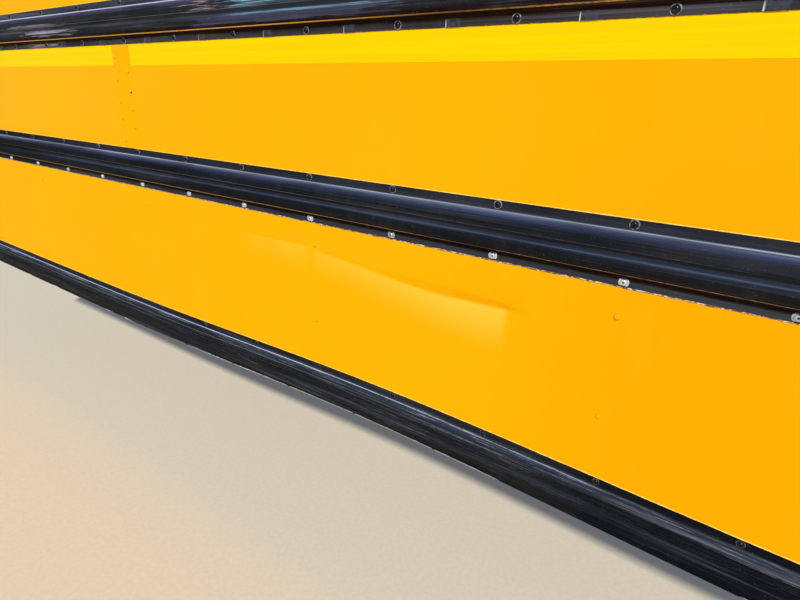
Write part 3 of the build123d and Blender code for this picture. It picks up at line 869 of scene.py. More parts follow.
def finish_makers():
    """What makes each of the wall's finishes, by the name of its material."""
    colours = wall_colours()
    black = partial(rail_paint, streaks=RAIL_STREAKS, worn=colours.rail_wear_and_sheen)
    worn = partial(rail_paint, streaks=SKIRT_STREAKS, worn=colours.skirt_wear_and_sheen, bright_edge=True)
    chip = (STRIP_POST + 0.0345, SKIN_FACE - 0.0020, 0.2140)
    return {
        "bus_yellow_paint": yellow_paint,
        "strip_yellow_paint": partial(yellow_paint, chip_at=chip, gloss=0.005, coat=0.006),
        "struck_yellow_paint": partial(
            yellow_paint, struck=True, gloss=0.006, coat=0.008, back=colours.undercoat
        ),
        "rivet_yellow_paint": partial(yellow_paint, chip_at=chip, gloss=0.14),
        "rail_black_paint": partial(
            black, bands=RAIL_LIGHT_AND_SHADE, run=2.6, scuff=0.07, relief=0.05, lines=RAIL_HIGHLIGHT_LINES, dimmed=RAIL_SHADED_STRETCHES
        ),
        "rail_smeared_paint": partial(
            black, bands=SEAT_LIGHT_AND_SHADE, run=3.6, scuff=0.24, relief=0.08, lines=SEAT_HIGHLIGHT_LINES, reflections=PAINTED_REFLECTIONS
        ),
        "rail_scuffed_paint": partial(
            worn, bands=SKIRT_LIGHT_AND_SHADE, run=4.5, scuff=0.12, relief=0.22, lines=SKIRT_HIGHLIGHT_LINES, dimmed=SKIRT_SHADED_STRETCHES
        ),
        "reflective_film": tape_film,
        # Painted screws carry a painted highlight on their rims, fainter on the skirt rail
        "screw_black": partial(painted_screw, rubbed=1.0),
        "screw_scuffed": partial(painted_screw, rubbed=0.35),
        "screw_zinc": zinc_screw,
        "screw_half_painted": partial(zinc_screw, row=rail_row("floor_line_rail", "lower")),
        "galvanised_posts": partial(galvanised_steel, scale=85.0, dirt=0.35),
        "galvanised_ledge": partial(galvanised_steel, scale=60.0, dirt=0.7),
        "undercoat_black": underbody_coating,
        "liner_stucco": partial(lining_sheet, scale=330.0, relief=0.32),
        "kick_panel_sheet": partial(lining_sheet, scale=520.0, relief=0.18),
        "seat_rail_enamel": satin_enamel,
        "seam_sealer": partial(edge_sealant, tones=SEAM_TONES, pale_share=0.25),
        "thin_sealer": partial(edge_sealant, tones=THIN_TONES, pale_share=0.4),
        # The paint edges' pale tone is partly a painted highlight along the rails' top edges
        "paint_edge": partial(edge_sealant, tones=EDGE_HIGHLIGHT_TONES, pale_share=0.6),
    }


def material_named(name):
    """The wall's materials by name, each made when it is first asked for."""
    if name in bpy.data.materials:
        return bpy.data.materials[name]
    return finish_makers()[name](name)


# Mesh helpers


def rounded_path(corners, steps=7):
    """Points of a folded path in the wall's cross-section; a corner is (y, z, bend radius)."""
    points = [np.array(corners[0][:2])]
    for before, corner, after in zip(corners, corners[1:], corners[2:]):
        here = np.array(corner[:2])
        back = np.array(before[:2]) - here
        on = np.array(after[:2]) - here
        back /= np.linalg.norm(back)
        on /= np.linalg.norm(on)
        half = math.acos(float(np.clip(back @ on, -1.0, 1.0))) / 2
        reach = corner[2] / math.tan(half)
        start, end = here + back * reach, here + on * reach
        middle = here + (back + on) / np.linalg.norm(back + on) * corner[2] / math.sin(half)
        for step in range(steps + 1):
            share = step / steps
            turn = (start - middle) * (1 - share) + (end - middle) * share
            points.append(middle + turn / np.linalg.norm(turn) * corner[2])
    points.append(np.array(corners[-1][:2]))
    return np.array(points)


def inner_path(path, thickness):
    """The sheet's other face: each point moved along its normal, to the left of the way the path runs."""
    legs = np.diff(path, axis=0)
    legs /= np.linalg.norm(legs, axis=1)[:, None]
    normals = np.stack([-legs[:, 1], legs[:, 0]], axis=1)
    joined = np.vstack([normals[:1], normals[:-1] + normals[1:], normals[-1:]])
    joined /= np.linalg.norm(joined, axis=1)[:, None]
    facing = np.vstack([normals[:1], normals[1:], normals[-1:]])
    return path + joined * (thickness / np.sum(joined * facing, axis=1))[:, None]


def finer(path, limit):
    """The path with its straight runs divided into steps no longer than the limit."""
    points = [path[:1]]
    for start, end in zip(path, path[1:]):
        steps = max(1, math.ceil(float(np.linalg.norm(end - start)) / limit))
        points.append(start + (end - start) * (np.arange(1, steps + 1) / steps)[:, None])
    return np.vstack(points)


def linked(name, data):
    """A new object in the scene, at the origin."""
    made = bpy.data.objects.new(name, data)
    bpy.context.scene.collection.objects.link(made)
    return made


def link_mesh(name, vertices, faces, material, smooth_angle=32.0):
    """Mesh object with its normals outwards, smooth up to an angle, with one material."""
    mesh = bpy.data.meshes.new(name)
    mesh.from_pydata(vertices.tolist(), [], faces)
    shape = bmesh.new()
    shape.from_mesh(mesh)
    bmesh.ops.recalc_face_normals(shape, faces=shape.faces)
    shape.to_mesh(mesh)
    shape.free()
    mesh.shade_smooth()
    mesh.set_sharp_from_angle(angle=math.radians(smooth_angle))
    mesh.materials.append(material)
    return linked(name, mesh)


def ring_faces(rings, count, start=0):
    """Quads that join each closed ring of points to the next."""
    faces = []
    for low in range(start, start + (rings - 1) * count, count):
        for index in range(count):
            after = (index + 1) % count
            faces.append((low + index, low + after, low + count + after, low + count + index))
    return faces


def mark_points(piece, name, values):
    """Gives each point of a piece's mesh a value that its material reads."""
    piece.data.attributes.new(name, "FLOAT", "POINT").data.foreach_set("value", values)


def folded_strip(name, path, thickness, stations, material, shift=None, marks=None):
    """Folded sheet running along the bus. shift(x, z) gives its offsets in Y and Z; marks are
    attributes by name, each from its own rule of (x, z)."""
    ring = np.vstack([path, inner_path(path, thickness)[::-1]])
    count = len(ring)
    x, y = np.meshgrid(stations, ring[:, 0], indexing="ij")
    z = np.tile(ring[:, 1], (len(stations), 1))
    level = np.tile(np.concatenate([path[:, 1], path[::-1, 1]]), (len(stations), 1))
    if shift is not None:
        move_y, move_z = shift(x, level)
        y = y + move_y
        z = z + move_z
    faces = ring_faces(len(stations), count)
    last = (len(stations) - 1) * count
    for index in range(len(path) - 1):
        mate = count - 1 - index
        faces.append((index, mate, mate - 1, index + 1))
        faces.append((last + index, last + index + 1, last + mate - 1, last + mate))
    made = link_mesh(name, np.stack([x, y, z], axis=-1).reshape(-1, 3), faces, material)
    mark_points(made, "inner", np.tile(np.repeat((0.0, 1.0), len(path)), len(stations)))
    for mark, rule in (marks or {}).items():
        mark_points(made, mark, rule(x, level).ravel())
    return made


def spaced(start, end, step, marks=()):
    """Stations from start to end about a step apart, with the marks that lie between them."""
    count = max(2, round((end - start) / step) + 1)
    kept = [mark for mark in marks if start < mark < end]
    return sorted(set(np.round(np.concatenate([np.linspace(start, end, count), kept]), 6)))


def smooth_share(value):
    """Smoothstep of a value clipped to 0 and 1."""
    share = np.clip(value, 0.0, 1.0)
    return share * share * (3.0 - 2.0 * share)


def sheet_bulge(x, z, bands, seed, depth):
    """Oil-canning: a bulge in each bay and band, level at the posts and at the bands' edges."""
    draw = random.Random(seed)
    move = np.zeros_like(x)
    edges = [-HALF_LENGTH, *POST_PLACES, HALF_LENGTH]
    for low, high in bands:
        across = np.clip((z - low) / (high - low), 0.0, 1.0)
        for left, right in zip(edges, edges[1:]):
            height = depth * draw.uniform(-1.0, 1.0)
            lean = draw.uniform(0.7, 1.4)
            along = np.clip((x - left) / (right - left), 0.0, 1.0)
            move += height * np.sin(np.pi * along) ** 2 * np.sin(np.pi * across**lean) ** 2
    return move


def dent_columns():
    """The columns of each dent's table: places, crease, deepest line, foot of the ramp, share of the depth."""
    return [[np.array(column) for column in zip(*table)] for table in DENT_TABLES]


def dent_depth(x, z, depth):
    """Depth of the skirt's dents: a gentle slope to a crease, a short step in and a ramp back out."""
    total = np.zeros_like(x)
    for places, crease, deepest, foot, share in dent_columns():
        kink = np.interp(x, places, crease)
        low = np.interp(x, places, deepest)
        end = np.interp(x, places, foot)
        here = depth * np.interp(x, places, share, left=0.0, right=0.0)
        slope = np.clip((DENT_TOP - z) / (DENT_TOP - kink), 0.0, 1.0)
        lean_in = DENT_CREASE * slope * (0.45 + 0.55 * slope)
        step_in = DENT_CREASE + (1.0 - DENT_CREASE) * np.clip((kink - z) / (kink - low), 0.0, 1.0)
        way_out = np.clip((low - z) / (low - end), 0.0, 1.0)
        ramp_out = (1.0 - way_out) ** 2.6
        total += here * np.where(z > kink, lean_in, np.where(z > low, step_in, ramp_out))
    return total


def dent_highlight_marks(x, z):
    """Painted highlight on the ramp below a dent's deepest line: further down where it is deeper."""
    total = np.zeros_like(x)
    for (places, _, deepest, _, share), (start, end) in zip(dent_columns(), DENT_HIGHLIGHT_SPANS):
        below = np.interp(x, places, deepest) - z
        run = 0.052 + 0.040 * np.interp(x, places[1:-1], share[1:-1])
        fade = np.clip(1.0 - below / run, 0.0, 1.0) * smooth_share(below / 0.006 + 0.3)
        held = np.interp(np.minimum(x, places[-3]), places[1:], share[1:])
        spanned = smooth_share((end - x) / 0.014 + 0.5) * smooth_share((x - start) / 0.010)
        total += np.clip(held**0.8 * 1.15, 0.0, 1.0) * fade * spanned
    return np.clip(total, 0.0, 1.0)


def crease_shade_marks(x, z):
    """Painted shade about half way from a dent's crease to its deepest line."""
    total = np.zeros_like(x)
    for places, crease, deepest, _, share in dent_columns():
        line = np.interp(x, places, crease)
        low = np.interp(x, places, deepest)
        here = np.interp(x, places, share, left=0.0, right=0.0)
        width = 0.5 * (line - low) + 0.003
        away = np.abs(z - (line + low) / 2) / width
        total += np.clip(here * 1.4 - 0.5, 0.0, 0.7) * smooth_share(1.3 - away)
    return np.clip(total, 0.0, 1.0)


def rail_row(rail, edge):
    """Level of a rail's upper or lower screw row."""
    low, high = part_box(rail)
    inset = wall_sizes().rail_screw_inset
    return high.z - inset if edge == "upper" else low.z + inset


def screw_places(shift=0.0):
    """Places along the bus of a rail's screws."""
    sizes = wall_sizes()
    pitch = sizes.rail_screw_pitch
    first = POST_PLACES[0] + sizes.post_line + shift
    reach = HALF_LENGTH - SCREW_END_GAP
    start = first - math.floor((first + reach) / pitch) * pitch
    return list(np.arange(start, reach, pitch))


def claim(piece, slot, *nodes):
    """Lets a new piece ride on the wall and stand for its nodes, which it hides; the slot is not used."""
    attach(piece, "root")
    if nodes:
        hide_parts(*nodes)


# Skin


def skirt_rise(x):
    """Rise of the struck skirt rail."""
    sizes = wall_sizes()
    return sizes.skirt_bow * np.exp(-(((x - sizes.bow_place) / sizes.bow_run) ** 2))


def hem_rise(x, z):
    """Rise of the rail and the skirt behind it: the edge below the rail's crown is pushed up further."""
    sizes = wall_sizes()
    low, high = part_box("skirt_rail")
    whole = smooth_share((high.z + HEM_FADE - z) / HEM_FADE)
    under = np.clip((low.z + FLANGE_DEPTH - z) / FLANGE_DEPTH, 0.0, 1.0)
    return skirt_rise(x) * (whole + under * sizes.hem_bow / sizes.skirt_bow)


def skirt_shift(x, z):
    """How the skirt is pushed about: bulges, the dent and the rise of its struck bottom edge."""
    sizes = wall_sizes()
    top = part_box("floor_line_rail")[0].z
    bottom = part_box("skirt_rail")[1].z
    inwards = sheet_bulge(x, z, [(bottom, top)], sizes.seed + 3, sizes.sheet_wave * 0.6)
    return inwards + dent_depth(x, z, sizes.dent_depth), hem_rise(x, z)


def side_shift(x, z):
    """Bulges of the side sheets, between the rub rails and up to the sill."""
    sizes = wall_sizes()
    floor_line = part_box("floor_line_rail")[1].z
    seat_low, seat_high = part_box("seat_level_rail")[0].z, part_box("seat_level_rail")[1].z
    bands = [(floor_line, seat_low), (seat_high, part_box("window_sill")[0].z)]
    return sheet_bulge(x, z, bands, sizes.seed, sizes.sheet_wave), np.zeros_like(x)


def cover_flat(node, ending, step, finish, slot):
    """A flat sheet of the side in place of its node, with the side's bulges."""
    low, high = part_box(node)
    path = np.array([(low.y, z) for z in spaced(low.z, high.z, step)[::-1]])
    stations = spaced(low.x, high.x, SHEET_STEP, POST_PLACES)
    paint = material_named(finish)
    piece = folded_strip(f"{node}_{ending}", path, high.y - low.y, stations, paint, side_shift)
    claim(piece, slot, node)


def cover_seam():
    """The cover strip with sloping sides, in two lengths that stop short of the seat-level rail."""
    low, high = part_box("seam_strip")
    rail_low, rail_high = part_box("seat_level_rail")
    slope, gap, lip = 0.014, 0.001, 0.0003
    outline = ((low.x, high.y), (low.x, high.y - lip), (low.x + slope, low.y))
    outline += ((high.x - slope, low.y), (high.x, high.y - lip), (high.x, high.y))
    count = len(outline)
    vertices, faces = [], []
    for bottom, top in ((low.z, rail_low.z - gap), (rail_high.z + gap, high.z)):
        first = len(vertices)
        for level in (bottom, bottom + gap, top - gap, top):
            edge = gap / 3 if level in (bottom, top) else 0.0
            vertices.extend((x, min(y + edge, high.y), level) for x, y in outline)
        faces.extend(ring_faces(4, count, first))
        faces.append(tuple(range(first, first + count)))
        faces.append(tuple(range(first + 3 * count, first + 4 * count)))
    paint = material_named("strip_yellow_paint")
    strip = link_mesh("seam_strip_cover", np.array(vertices), faces, paint, 1.0)
    claim(strip, "bus_yellow", "seam_strip")


class WALL_OT_side_sheets(bpy.types.Operator):
    """Makes the yellow side sheets, their seam strip and the window sill's finish"""

    bl_idname = "wall.side_sheets"
    bl_label = "Side sheets"

    def execute(self, context):
        for node in ("side_sheet_left", "side_sheet_right"):
            cover_flat(node, "skin", 0.014, "bus_yellow_paint", "bus_yellow")
        cover_seam()
        finish_nodes(("window_sill",), "bus_yellow_paint")
        return {"FINISHED"}


class WALL_OT_skirt(bpy.types.Operator):
    """Makes the skirt sheet with its dent and folded bottom edge"""

    bl_idname = "wall.skirt"
    bl_label = "Skirt sheet"

    def execute(self, context):
        low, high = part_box("skirt_sheet")
        dented = np.arange(DENT_FOOT, DENT_TOP, DENT_LEVEL_STEP)
        flat = spaced(low.z + HEM_START, high.z, 0.016, dented)[::-1]
        corners = ((SKIN_FACE, flat[-1], 0.0), (SKIN_FACE, low.z, HEM_BEND), (high.y, low.z, 0.0))
        path = np.vstack([[(SKIN_FACE, z) for z in flat], rounded_path(corners)[1:]])
        marks = [row[0] for table in DENT_TABLES for row in table]
        for table in DENT_TABLES:
            marks.extend(np.arange(table[0][0], table[-1][0], DENT_STEP))
        stations = spaced(low.x, high.x, SHEET_STEP, marks)
        # The struck paint reads its painted highlight and painted shade from these marks
        rules = {"dent_highlight": dent_highlight_marks, "crease": crease_shade_marks}
        paint = material_named("struck_yellow_paint")
        piece = folded_strip("skirt_skin", path, SKIN_INNER - SKIN_FACE, stations, paint, skirt_shift, rules)
        claim(piece, "bus_yellow", "skirt_sheet")
        return {"FINISHED"}


def rail_path(rail):
    """Cross-section of a rub rail's outer face, from its top edge down."""
    low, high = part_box(rail)
    corners = [(RAIL_FLANGE - out, high.z - down, bend) for out, down, bend in RAIL_SECTION]
    return finer(rounded_path([*corners, (RAIL_FLANGE, low.z, 0.0)], 6), 0.005)


def rail_outward(drop):
    """How far out the rail's face lies at a drop below its top edge, as a share of its full reach."""
    outs, downs, _ = zip(*RAIL_SECTION)
    return np.interp(drop, downs, outs, right=0.0) / RAIL_REACH


def pad_places(shift=0.0):
    """Middles of the pads pressed in a rail's lower flange, midway between its screws."""
    half = wall_sizes().rail_screw_pitch / 2
    return [x + half for x in screw_places(shift) if x + half < HALF_LENGTH - wall_sizes().pad_width]


def dress_rail(rail, finish, pad_width, pad_share, place_shift, seed):
    """One rub rail with its pads, its wander and the shares that its paint reads.

    pad_share says how far its pads stand out, and place_shift how far its screws lie from the post line."""
    sizes = wall_sizes()
    low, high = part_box(rail)
    pads = pad_places(place_shift)
    draw = random.Random(seed)
    waves = [(draw.uniform(0.4, 1.6), draw.uniform(0.0, 6.3), draw.uniform(0.3, 1.0)) for _ in range(5)]

    def on_pads(x, z, middle, half_width, height, fade):
        """1 on the same stretch of every pad, up to a height on the lower flange."""
        found = sum(smooth_share((half_width - np.abs(x - place - middle)) / PAD_EDGE) for place in pads)
        return found * smooth_share((low.z + height - z) / fade)

    def padded(x, z):
        """Where the pads are."""
        return on_pads(x, z, 0.0, pad_width / 2, FLANGE_DEPTH, 0.0012)

    def pad_glint_side(x, z):
        """The side of each pad that gets a painted glint."""
        return on_pads(x, z, -pad_width / 2, 0.0013, 0.0110, 0.0030) * pad_share

    def shift(x, z):
        """The rail's wander inwards, its pads outwards, and its rise where it was struck."""
        wander = sum(np.sin(x * 2 * np.pi * pitch + phase) * share for pitch, phase, share in waves)
        pinch = (1.0 + np.sin(wander)) * sizes.rail_wave / 2 * rail_outward(high.z - z)
        lift = hem_rise(x, z) if rail == "skirt_rail" else np.zeros_like(x)
        return pinch - padded(x, z) * sizes.pad_height * pad_share, lift

    visible = 1.0 if pad_share or rail == "skirt_rail" else 0.0
    rules = {
        "drop": lambda x, z: (high.z - z) / RAIL_HEIGHT,
        "pad": lambda x, z: padded(x, z) * visible,
        "pad_glint_side": pad_glint_side,
    }
    sides = [place + side * pad_width / 2 for place in pads for side in (-1, 1)]
    steps = (-0.0016, -0.001, -PAD_EDGE, 0.0, PAD_EDGE, 0.001, 0.0016)
    stations = spaced(low.x, high.x, 0.02, [side + step for side in sides for step in steps])
    paint = material_named(finish)
    piece = folded_strip(f"{rail}_strip", rail_path(rail), RAIL_SHEET, stations, paint, shift, rules)
    claim(piece, "rail_black", rail)


class WALL_OT_rub_rails(bpy.types.Operator):
    """Makes the three rub rails with their pressed pads, wander, and painted highlights, reflections and shade
    along their bends
    """

    bl_idname = "wall.rub_rails"
    bl_label = "Rub rails"

    def execute(self, context):
        sizes = wall_sizes()
        seed, dab = sizes.seed + 20, 0.008
        dress_rail("seat_level_rail", "rail_smeared_paint", sizes.pad_width, 1.0, 0.0, seed)
        dress_rail("floor_line_rail", "rail_black_paint", sizes.pad_width, 0.0, 0.0, seed + 1)
        dress_rail("skirt_rail", "rail_scuffed_paint", dab, 0.0, sizes.skirt_rail_shift, seed + 2)
        return {"FINISHED"}


class WALL_OT_reflective_tape(bpy.types.Operator):
    """Lays the reflective tape on the side sheets"""

    bl_idname = "wall.reflective_tape"
    bl_label = "Reflective tape"

    def execute(self, context):
        for node in ("reflective_tape_left", "reflective_tape_right"):
            cover_flat(node, "film", 0.008, "reflective_film", "reflective_yellow")
        return {"FINISHED"}


# Fastenings


def turned_head(name, rings, facing, segments, lobes=0, lobe_depth=0.0):
    """A screw or rivet head turned about Y: rings are (radius, height), the last one a recess's floor."""
    vertices = []
    last = len(rings) - 1
    for order, (radius, height) in enumerate(rings):
        in_recess = lobes and order >= last - 1
        for step in range(segments):
            turn = 2 * math.pi * step / segments
            reach = radius * (1 + lobe_depth * math.cos(lobes * turn)) if in_recess else radius
            vertices.append((reach * math.cos(turn), facing * height, reach * math.sin(turn)))
    vertices.append((0.0, facing * rings[-1][1], 0.0))
    centre = len(vertices) - 1
    top = last * segments
    faces = [tuple(range(segments)), *ring_faces(len(rings), segments)]
    faces.extend((top + step, top + (step + 1) % segments, centre) for step in range(segments))
    head = link_mesh(name, np.array(vertices), faces, material_named("screw_zinc"), 38.0)
    # rim marks the rings where painted screws get a painted highlight; recess marks where zinc heads get
    # painted shade
    for mark, marked in (("rim", (1, 2)), ("recess", (last,) if lobes else ())):
        values = [float(order in marked) for order in range(len(rings)) for _ in range(segments)]
        mark_points(head, mark, [*values, float(last in marked)])
    return head


def fastener_tree():
    """Sets a head on every point, each turned and sized a little differently."""
    name = "Fasteners on points"
    if name in bpy.data.node_groups:
        return bpy.data.node_groups[name]
    tree = bpy.data.node_groups.new(name, "GeometryNodeTree")
    sockets = (
        ("Geometry", "INPUT", "Geometry"),
        ("Head", "INPUT", "Object"),
        ("Finish", "INPUT", "Material"),
        ("Head size", "INPUT", "Float"),
        ("Size spread", "INPUT", "Float"),
        ("Tilt", "INPUT", "Float"),
        ("Seed", "INPUT", "Int"),
        ("Geometry", "OUTPUT", "Geometry"),
    )
    for label, way, kind in sockets:
        tree.interface.new_socket(name=label, in_out=way, socket_type=f"NodeSocket{kind}")
    given = tree.nodes.new("NodeGroupInput").outputs
    head = put(tree, "GeometryNodeObjectInfo", {"Object": given["Head"]})
    tilt, seed, spread = given["Tilt"], given["Seed"], given["Size spread"]
    back = product(tilt, -1.0)
    low = put(tree, "ShaderNodeCombineXYZ", {0: back, 1: -math.pi, 2: back}).outputs[0]
    high = put(tree, "ShaderNodeCombineXYZ", {0: tilt, 1: math.pi, 2: tilt}).outputs[0]
    turns = {"Min": low, "Max": high, "Seed": seed}
    turn = put(tree, "FunctionNodeRandomValue", turns, data_type="FLOAT_VECTOR").outputs[0]
    shares = {2: without(spread), 3: added(1.0, spread), "Seed": seed}
    share = put(tree, "FunctionNodeRandomValue", shares, data_type="FLOAT").outputs[1]
    size = product(given["Head size"], share)
    shape = head.outputs["Geometry"]
    setting = {"Points": given["Geometry"], "Instance": shape, "Rotation": turn, "Scale": size}
    placed = put(tree, "GeometryNodeInstanceOnPoints", setting).outputs[0]
    whole = put(tree, "GeometryNodeRealizeInstances", {"Geometry": placed}).outputs[0]
    finish = {"Geometry": whole, "Material": given["Finish"]}
    painted = put(tree, "GeometryNodeSetMaterial", finish).outputs[0]
    give(tree.nodes.new("NodeGroupOutput").inputs["Geometry"], painted)
    return tree


def fasten(name, points, head, finish, slot, size=1.0, spread=0.03, tilt=0.03):
    """Puts heads on the points through the node tree and keeps the result as a plain mesh."""
    carrier_mesh = bpy.data.meshes.new(f"{name}_points")
    carrier_mesh.from_pydata([tuple(point) for point in points], [], [])
    carrier = linked(f"{name}_points", carrier_mesh)
    tree = fastener_tree()
    modifier = carrier.modifiers.new("Fasteners", "NODES")
    modifier.node_group = tree
    values = {
        "Head": head,
        "Finish": material_named(finish),
        "Head size": size,
        "Size spread": spread,
        "Tilt": tilt,
        "Seed": wall_sizes().seed + len(points),
    }
    for socket in tree.interface.items_tree:
        if socket.item_type == "SOCKET" and socket.in_out == "INPUT" and socket.name in values:
            modifier[socket.identifier] = values[socket.name]
    bpy.context.view_layer.update()
    graph = bpy.context.evaluated_depsgraph_get()
    mesh = bpy.data.meshes.new_from_object(carrier.evaluated_get(graph))
    mesh.name = name
    carrier.modifiers.remove(modifier)
    bpy.data.objects.remove(carrier)
    bpy.data.meshes.remove(carrier_mesh)
    claim(linked(name, mesh), slot)


def screw_head(name, diameter, facing=-1.0, segments=24):
    """Washer-faced pan head with a six-lobed recess."""
    half = diameter / 2
    rings = (
        (half, 0.0),
        (half, 0.0009),
        (half * 0.93, 0.0013),
        (half * 0.70, 0.0015),
        (half * 0.66, 0.0030),
        (half * 0.52, 0.0042),
        (half * 0.32, 0.0048),
        (half * 0.23, 0.0045),
        (half * 0.19, 0.0020),
    )
    return turned_head(name, rings, facing, segments, 6, 0.22)


def rivet_head(name, diameter, facing=-1.0, segments=12, height=0.0024):
    """Low domed rivet head with a dimple in its middle."""
    half = diameter / 2
    rings = (
        (half, 0.0),
        (half * 0.97, height * 0.35),
        (half * 0.78, height * 0.78),
        (half * 0.46, height),
        (half * 0.22, height * 0.94),
        (half * 0.16, height * 0.78),
    )
    return turned_head(name, rings, facing, segments)


class WALL_OT_rail_screws(bpy.types.Operator):
    """Drives the rub rails' screws: painted along the upper flanges, bare zinc along the floor line"""

    bl_idname = "wall.rail_screws"
    bl_label = "Rail screws"

    def execute(self, context):
        sizes = wall_sizes()
        black_rows = [rail_row("seat_level_rail", edge) for edge in ("upper", "lower")]
        black_rows.append(rail_row("floor_line_rail", "upper"))
        zinc_row = rail_row("floor_line_rail", "lower")
        skirt_row = rail_row("skirt_rail", "upper")
        painted = [(x, RAIL_FLANGE, row) for x in screw_places() for row in black_rows]
        bare = [(x, RAIL_FLANGE, zinc_row) for x in screw_places()]
        skirt = [(x, RAIL_FLANGE, skirt_row + skirt_rise(x)) for x in screw_places(sizes.skirt_rail_shift)]
        black = screw_head("painted_head", sizes.painted_head)
        zinc = screw_head("zinc_head", sizes.zinc_head)
        fasten("rail_screws_painted", painted, black, "screw_black", "rail_black")
        fasten("rail_screws_skirt", skirt, black, "screw_scuffed", "rail_black", size=0.86)
        fasten("rail_screws_zinc", bare, zinc, "screw_half_painted", "frame_steel", tilt=0.06)
        for head in (black, zinc):
            bpy.data.objects.remove(head)
        return {"FINISHED"}


class WALL_OT_skin_rivets(bpy.types.Operator):
    """Sets the painted rivets of the seam strip and of the skirt's braces"""

    bl_idname = "wall.skin_rivets"
    bl_label = "Skin rivets"

    def execute(self, context):
        sizes = wall_sizes()
        strip_face = SKIN_FACE - 0.0015
        left_levels = (0.310, 0.250, 0.189, 0.142, 0.078)
        right_levels = (0.271, 0.2185, 0.169, 0.119)
        upper_levels = (0.485, 0.535, 0.585, 0.635, 0.685)
        points = [(STRIP_POST - 0.0316, strip_face, z) for z in left_levels + upper_levels]
        points += [(STRIP_POST + 0.0304, strip_face, z) for z in right_levels + upper_levels]
        for place in POST_PLACES:
            step = 0.010 if place == STRUCK_POST else 0.0
            for level in (-0.110, -0.3045):
                points.append((place + sizes.post_line + step, SKIN_FACE, level))
        head = rivet_head("rivet_blank", sizes.rivet_head, segments=20, height=0.0034)
        fasten("skin_rivets", points, head, "rivet_yellow_paint", "bus_yellow", spread=0.08, tilt=0.05)
        bpy.data.objects.remove(head)
        return {"FINISHED"}


class WALL_OT_lining_fasteners(bpy.types.Operator):
    """Sets the rivets and screws that hold the lining, the seat rail and the floor ledge to the posts"""

    bl_idname = "wall.lining_fasteners"
    bl_label = "Lining fasteners"

    def execute(self, context):
        liner_low, liner_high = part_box("side_liner_left")
        kick_low, kick_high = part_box("kick_panel_left")
        seat_low, seat_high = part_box("seat_rail")
        ledge_low, ledge_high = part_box("floor_ledge")
        liner_face = CROWN_FACE + 0.001
        edge, side_step, sheet = 0.016, 0.011, 0.003
        rivet_levels = [*np.linspace(liner_low.z + edge, liner_high.z - edge, 4)]
        rivet_levels += [kick_low.z + edge, kick_high.z - edge]
        rivets, screws = [], []
        for place in POST_PLACES:
            for level in rivet_levels:
                rivets += [(place + step, liner_face, level) for step in (side_step, -side_step)]
            screws.append((place, seat_low.y + sheet, seat_high.z - 0.012))
            screws.append((place, ledge_low.y + sheet, ledge_high.z - 0.014))
            screws.append((place, ledge_low.y + sheet, -0.026))
        inner_rivet = rivet_head("inner_rivet", 0.0085, 1.0)
        inner_screw = screw_head("inner_screw", 0.013, 1.0, 18)
        fasten("lining_rivets", rivets, inner_rivet, "screw_zinc", "liner_grey", spread=0.05)
        fasten("frame_screws", screws, inner_screw, "screw_zinc", "frame_steel")
        for head in (inner_rivet, inner_screw):
            bpy.data.objects.remove(head)
        return {"FINISHED"}


def bead(name, material, level, reach, rise, swing, seed, lift=None):
    """Ragged bead along the wall: reach out from the skin and half height, both swinging along it.

    Its back lies just inside the sheet, so that no gap shows under it and nothing shows from behind."""
    draw = random.Random(seed)
    stations = np.linspace(-HALF_LENGTH + BEAD_END_GAP, HALF_LENGTH - BEAD_END_GAP, 1200)
    sides = 6
    buried = 0.0005
    swell = 0.8
    vertices = []
    for x in stations:
        swell = min(1.0, max(1.0 - swing, swell + draw.uniform(-0.5, 0.5) * swing))
        middle = level + (lift(x) if lift else 0.0)
        for side in range(sides):
            turn = 2 * math.pi * side / sides
            out = max(reach * swell * math.cos(turn), -buried)
            vertices.append((x, SKIN_FACE - out, middle + rise * swell * math.sin(turn)))
    faces = ring_faces(len(stations), sides)
    faces.append(tuple(range(sides)))
    faces.append(tuple(range((len(stations) - 1) * sides, len(stations) * sides)))
    claim(link_mesh(name, np.array(vertices), faces, material_named(material)), "bus_yellow")


class WALL_OT_edge_sealer(bpy.types.Operator):
    """Runs the beads of old sealer under two rub rails and of paint along every rail's top edge, whose pale
    tone is partly a painted highlight
    """

    bl_idname = "wall.edge_sealer"
    bl_label = "Edge sealer"

    def execute(self, context):
        seed = wall_sizes().seed + 40
        floor_line, seat_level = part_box("floor_line_rail")[0].z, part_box("seat_level_rail")[0].z
        bead("floor_line_sealer", "seam_sealer", floor_line - 0.0010, 0.0018, 0.0024, 0.45, seed)
        bead("seat_level_sealer", "thin_sealer", seat_level - 0.0001, 0.0016, 0.0009, 0.5, seed + 1)
        for order, rail in enumerate(("seat_level_rail", "floor_line_rail", "skirt_rail")):
            lift = skirt_rise if rail == "skirt_rail" else None
            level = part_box(rail)[1].z + 0.0004
            bead(f"{rail}_bead", "paint_edge", level, 0.0018, 0.0016, 0.3, seed + 2 + order, lift)
        return {"FINISHED"}


def finish_nodes(nodes, material):
    """Gives kept nodes a better material."""
    for node in nodes:
        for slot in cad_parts[node].material_slots:
            slot.material = material_named(material)


class WALL_OT_inner_frame(bpy.types.Operator):
    """Finishes the posts, braces, gussets, floor ledge, seat rail and lining"""

    bl_idname = "wall.inner_frame"
    bl_label = "Inner frame"

    def execute(self, context):
        finish_nodes(POSTS, "galvanised_posts")
        finish_nodes(("floor_ledge",), "galvanised_ledge")
        finish_nodes(BRACES + GUSSETS, "undercoat_black")
        finish_nodes(("seat_rail",), "seat_rail_enamel")
        finish_nodes(("side_liner_left", "side_liner_right"), "liner_stucco")
        finish_nodes(("kick_panel_left", "kick_panel_right"), "kick_panel_sheet")
        return {"FINISHED"}


# Stage


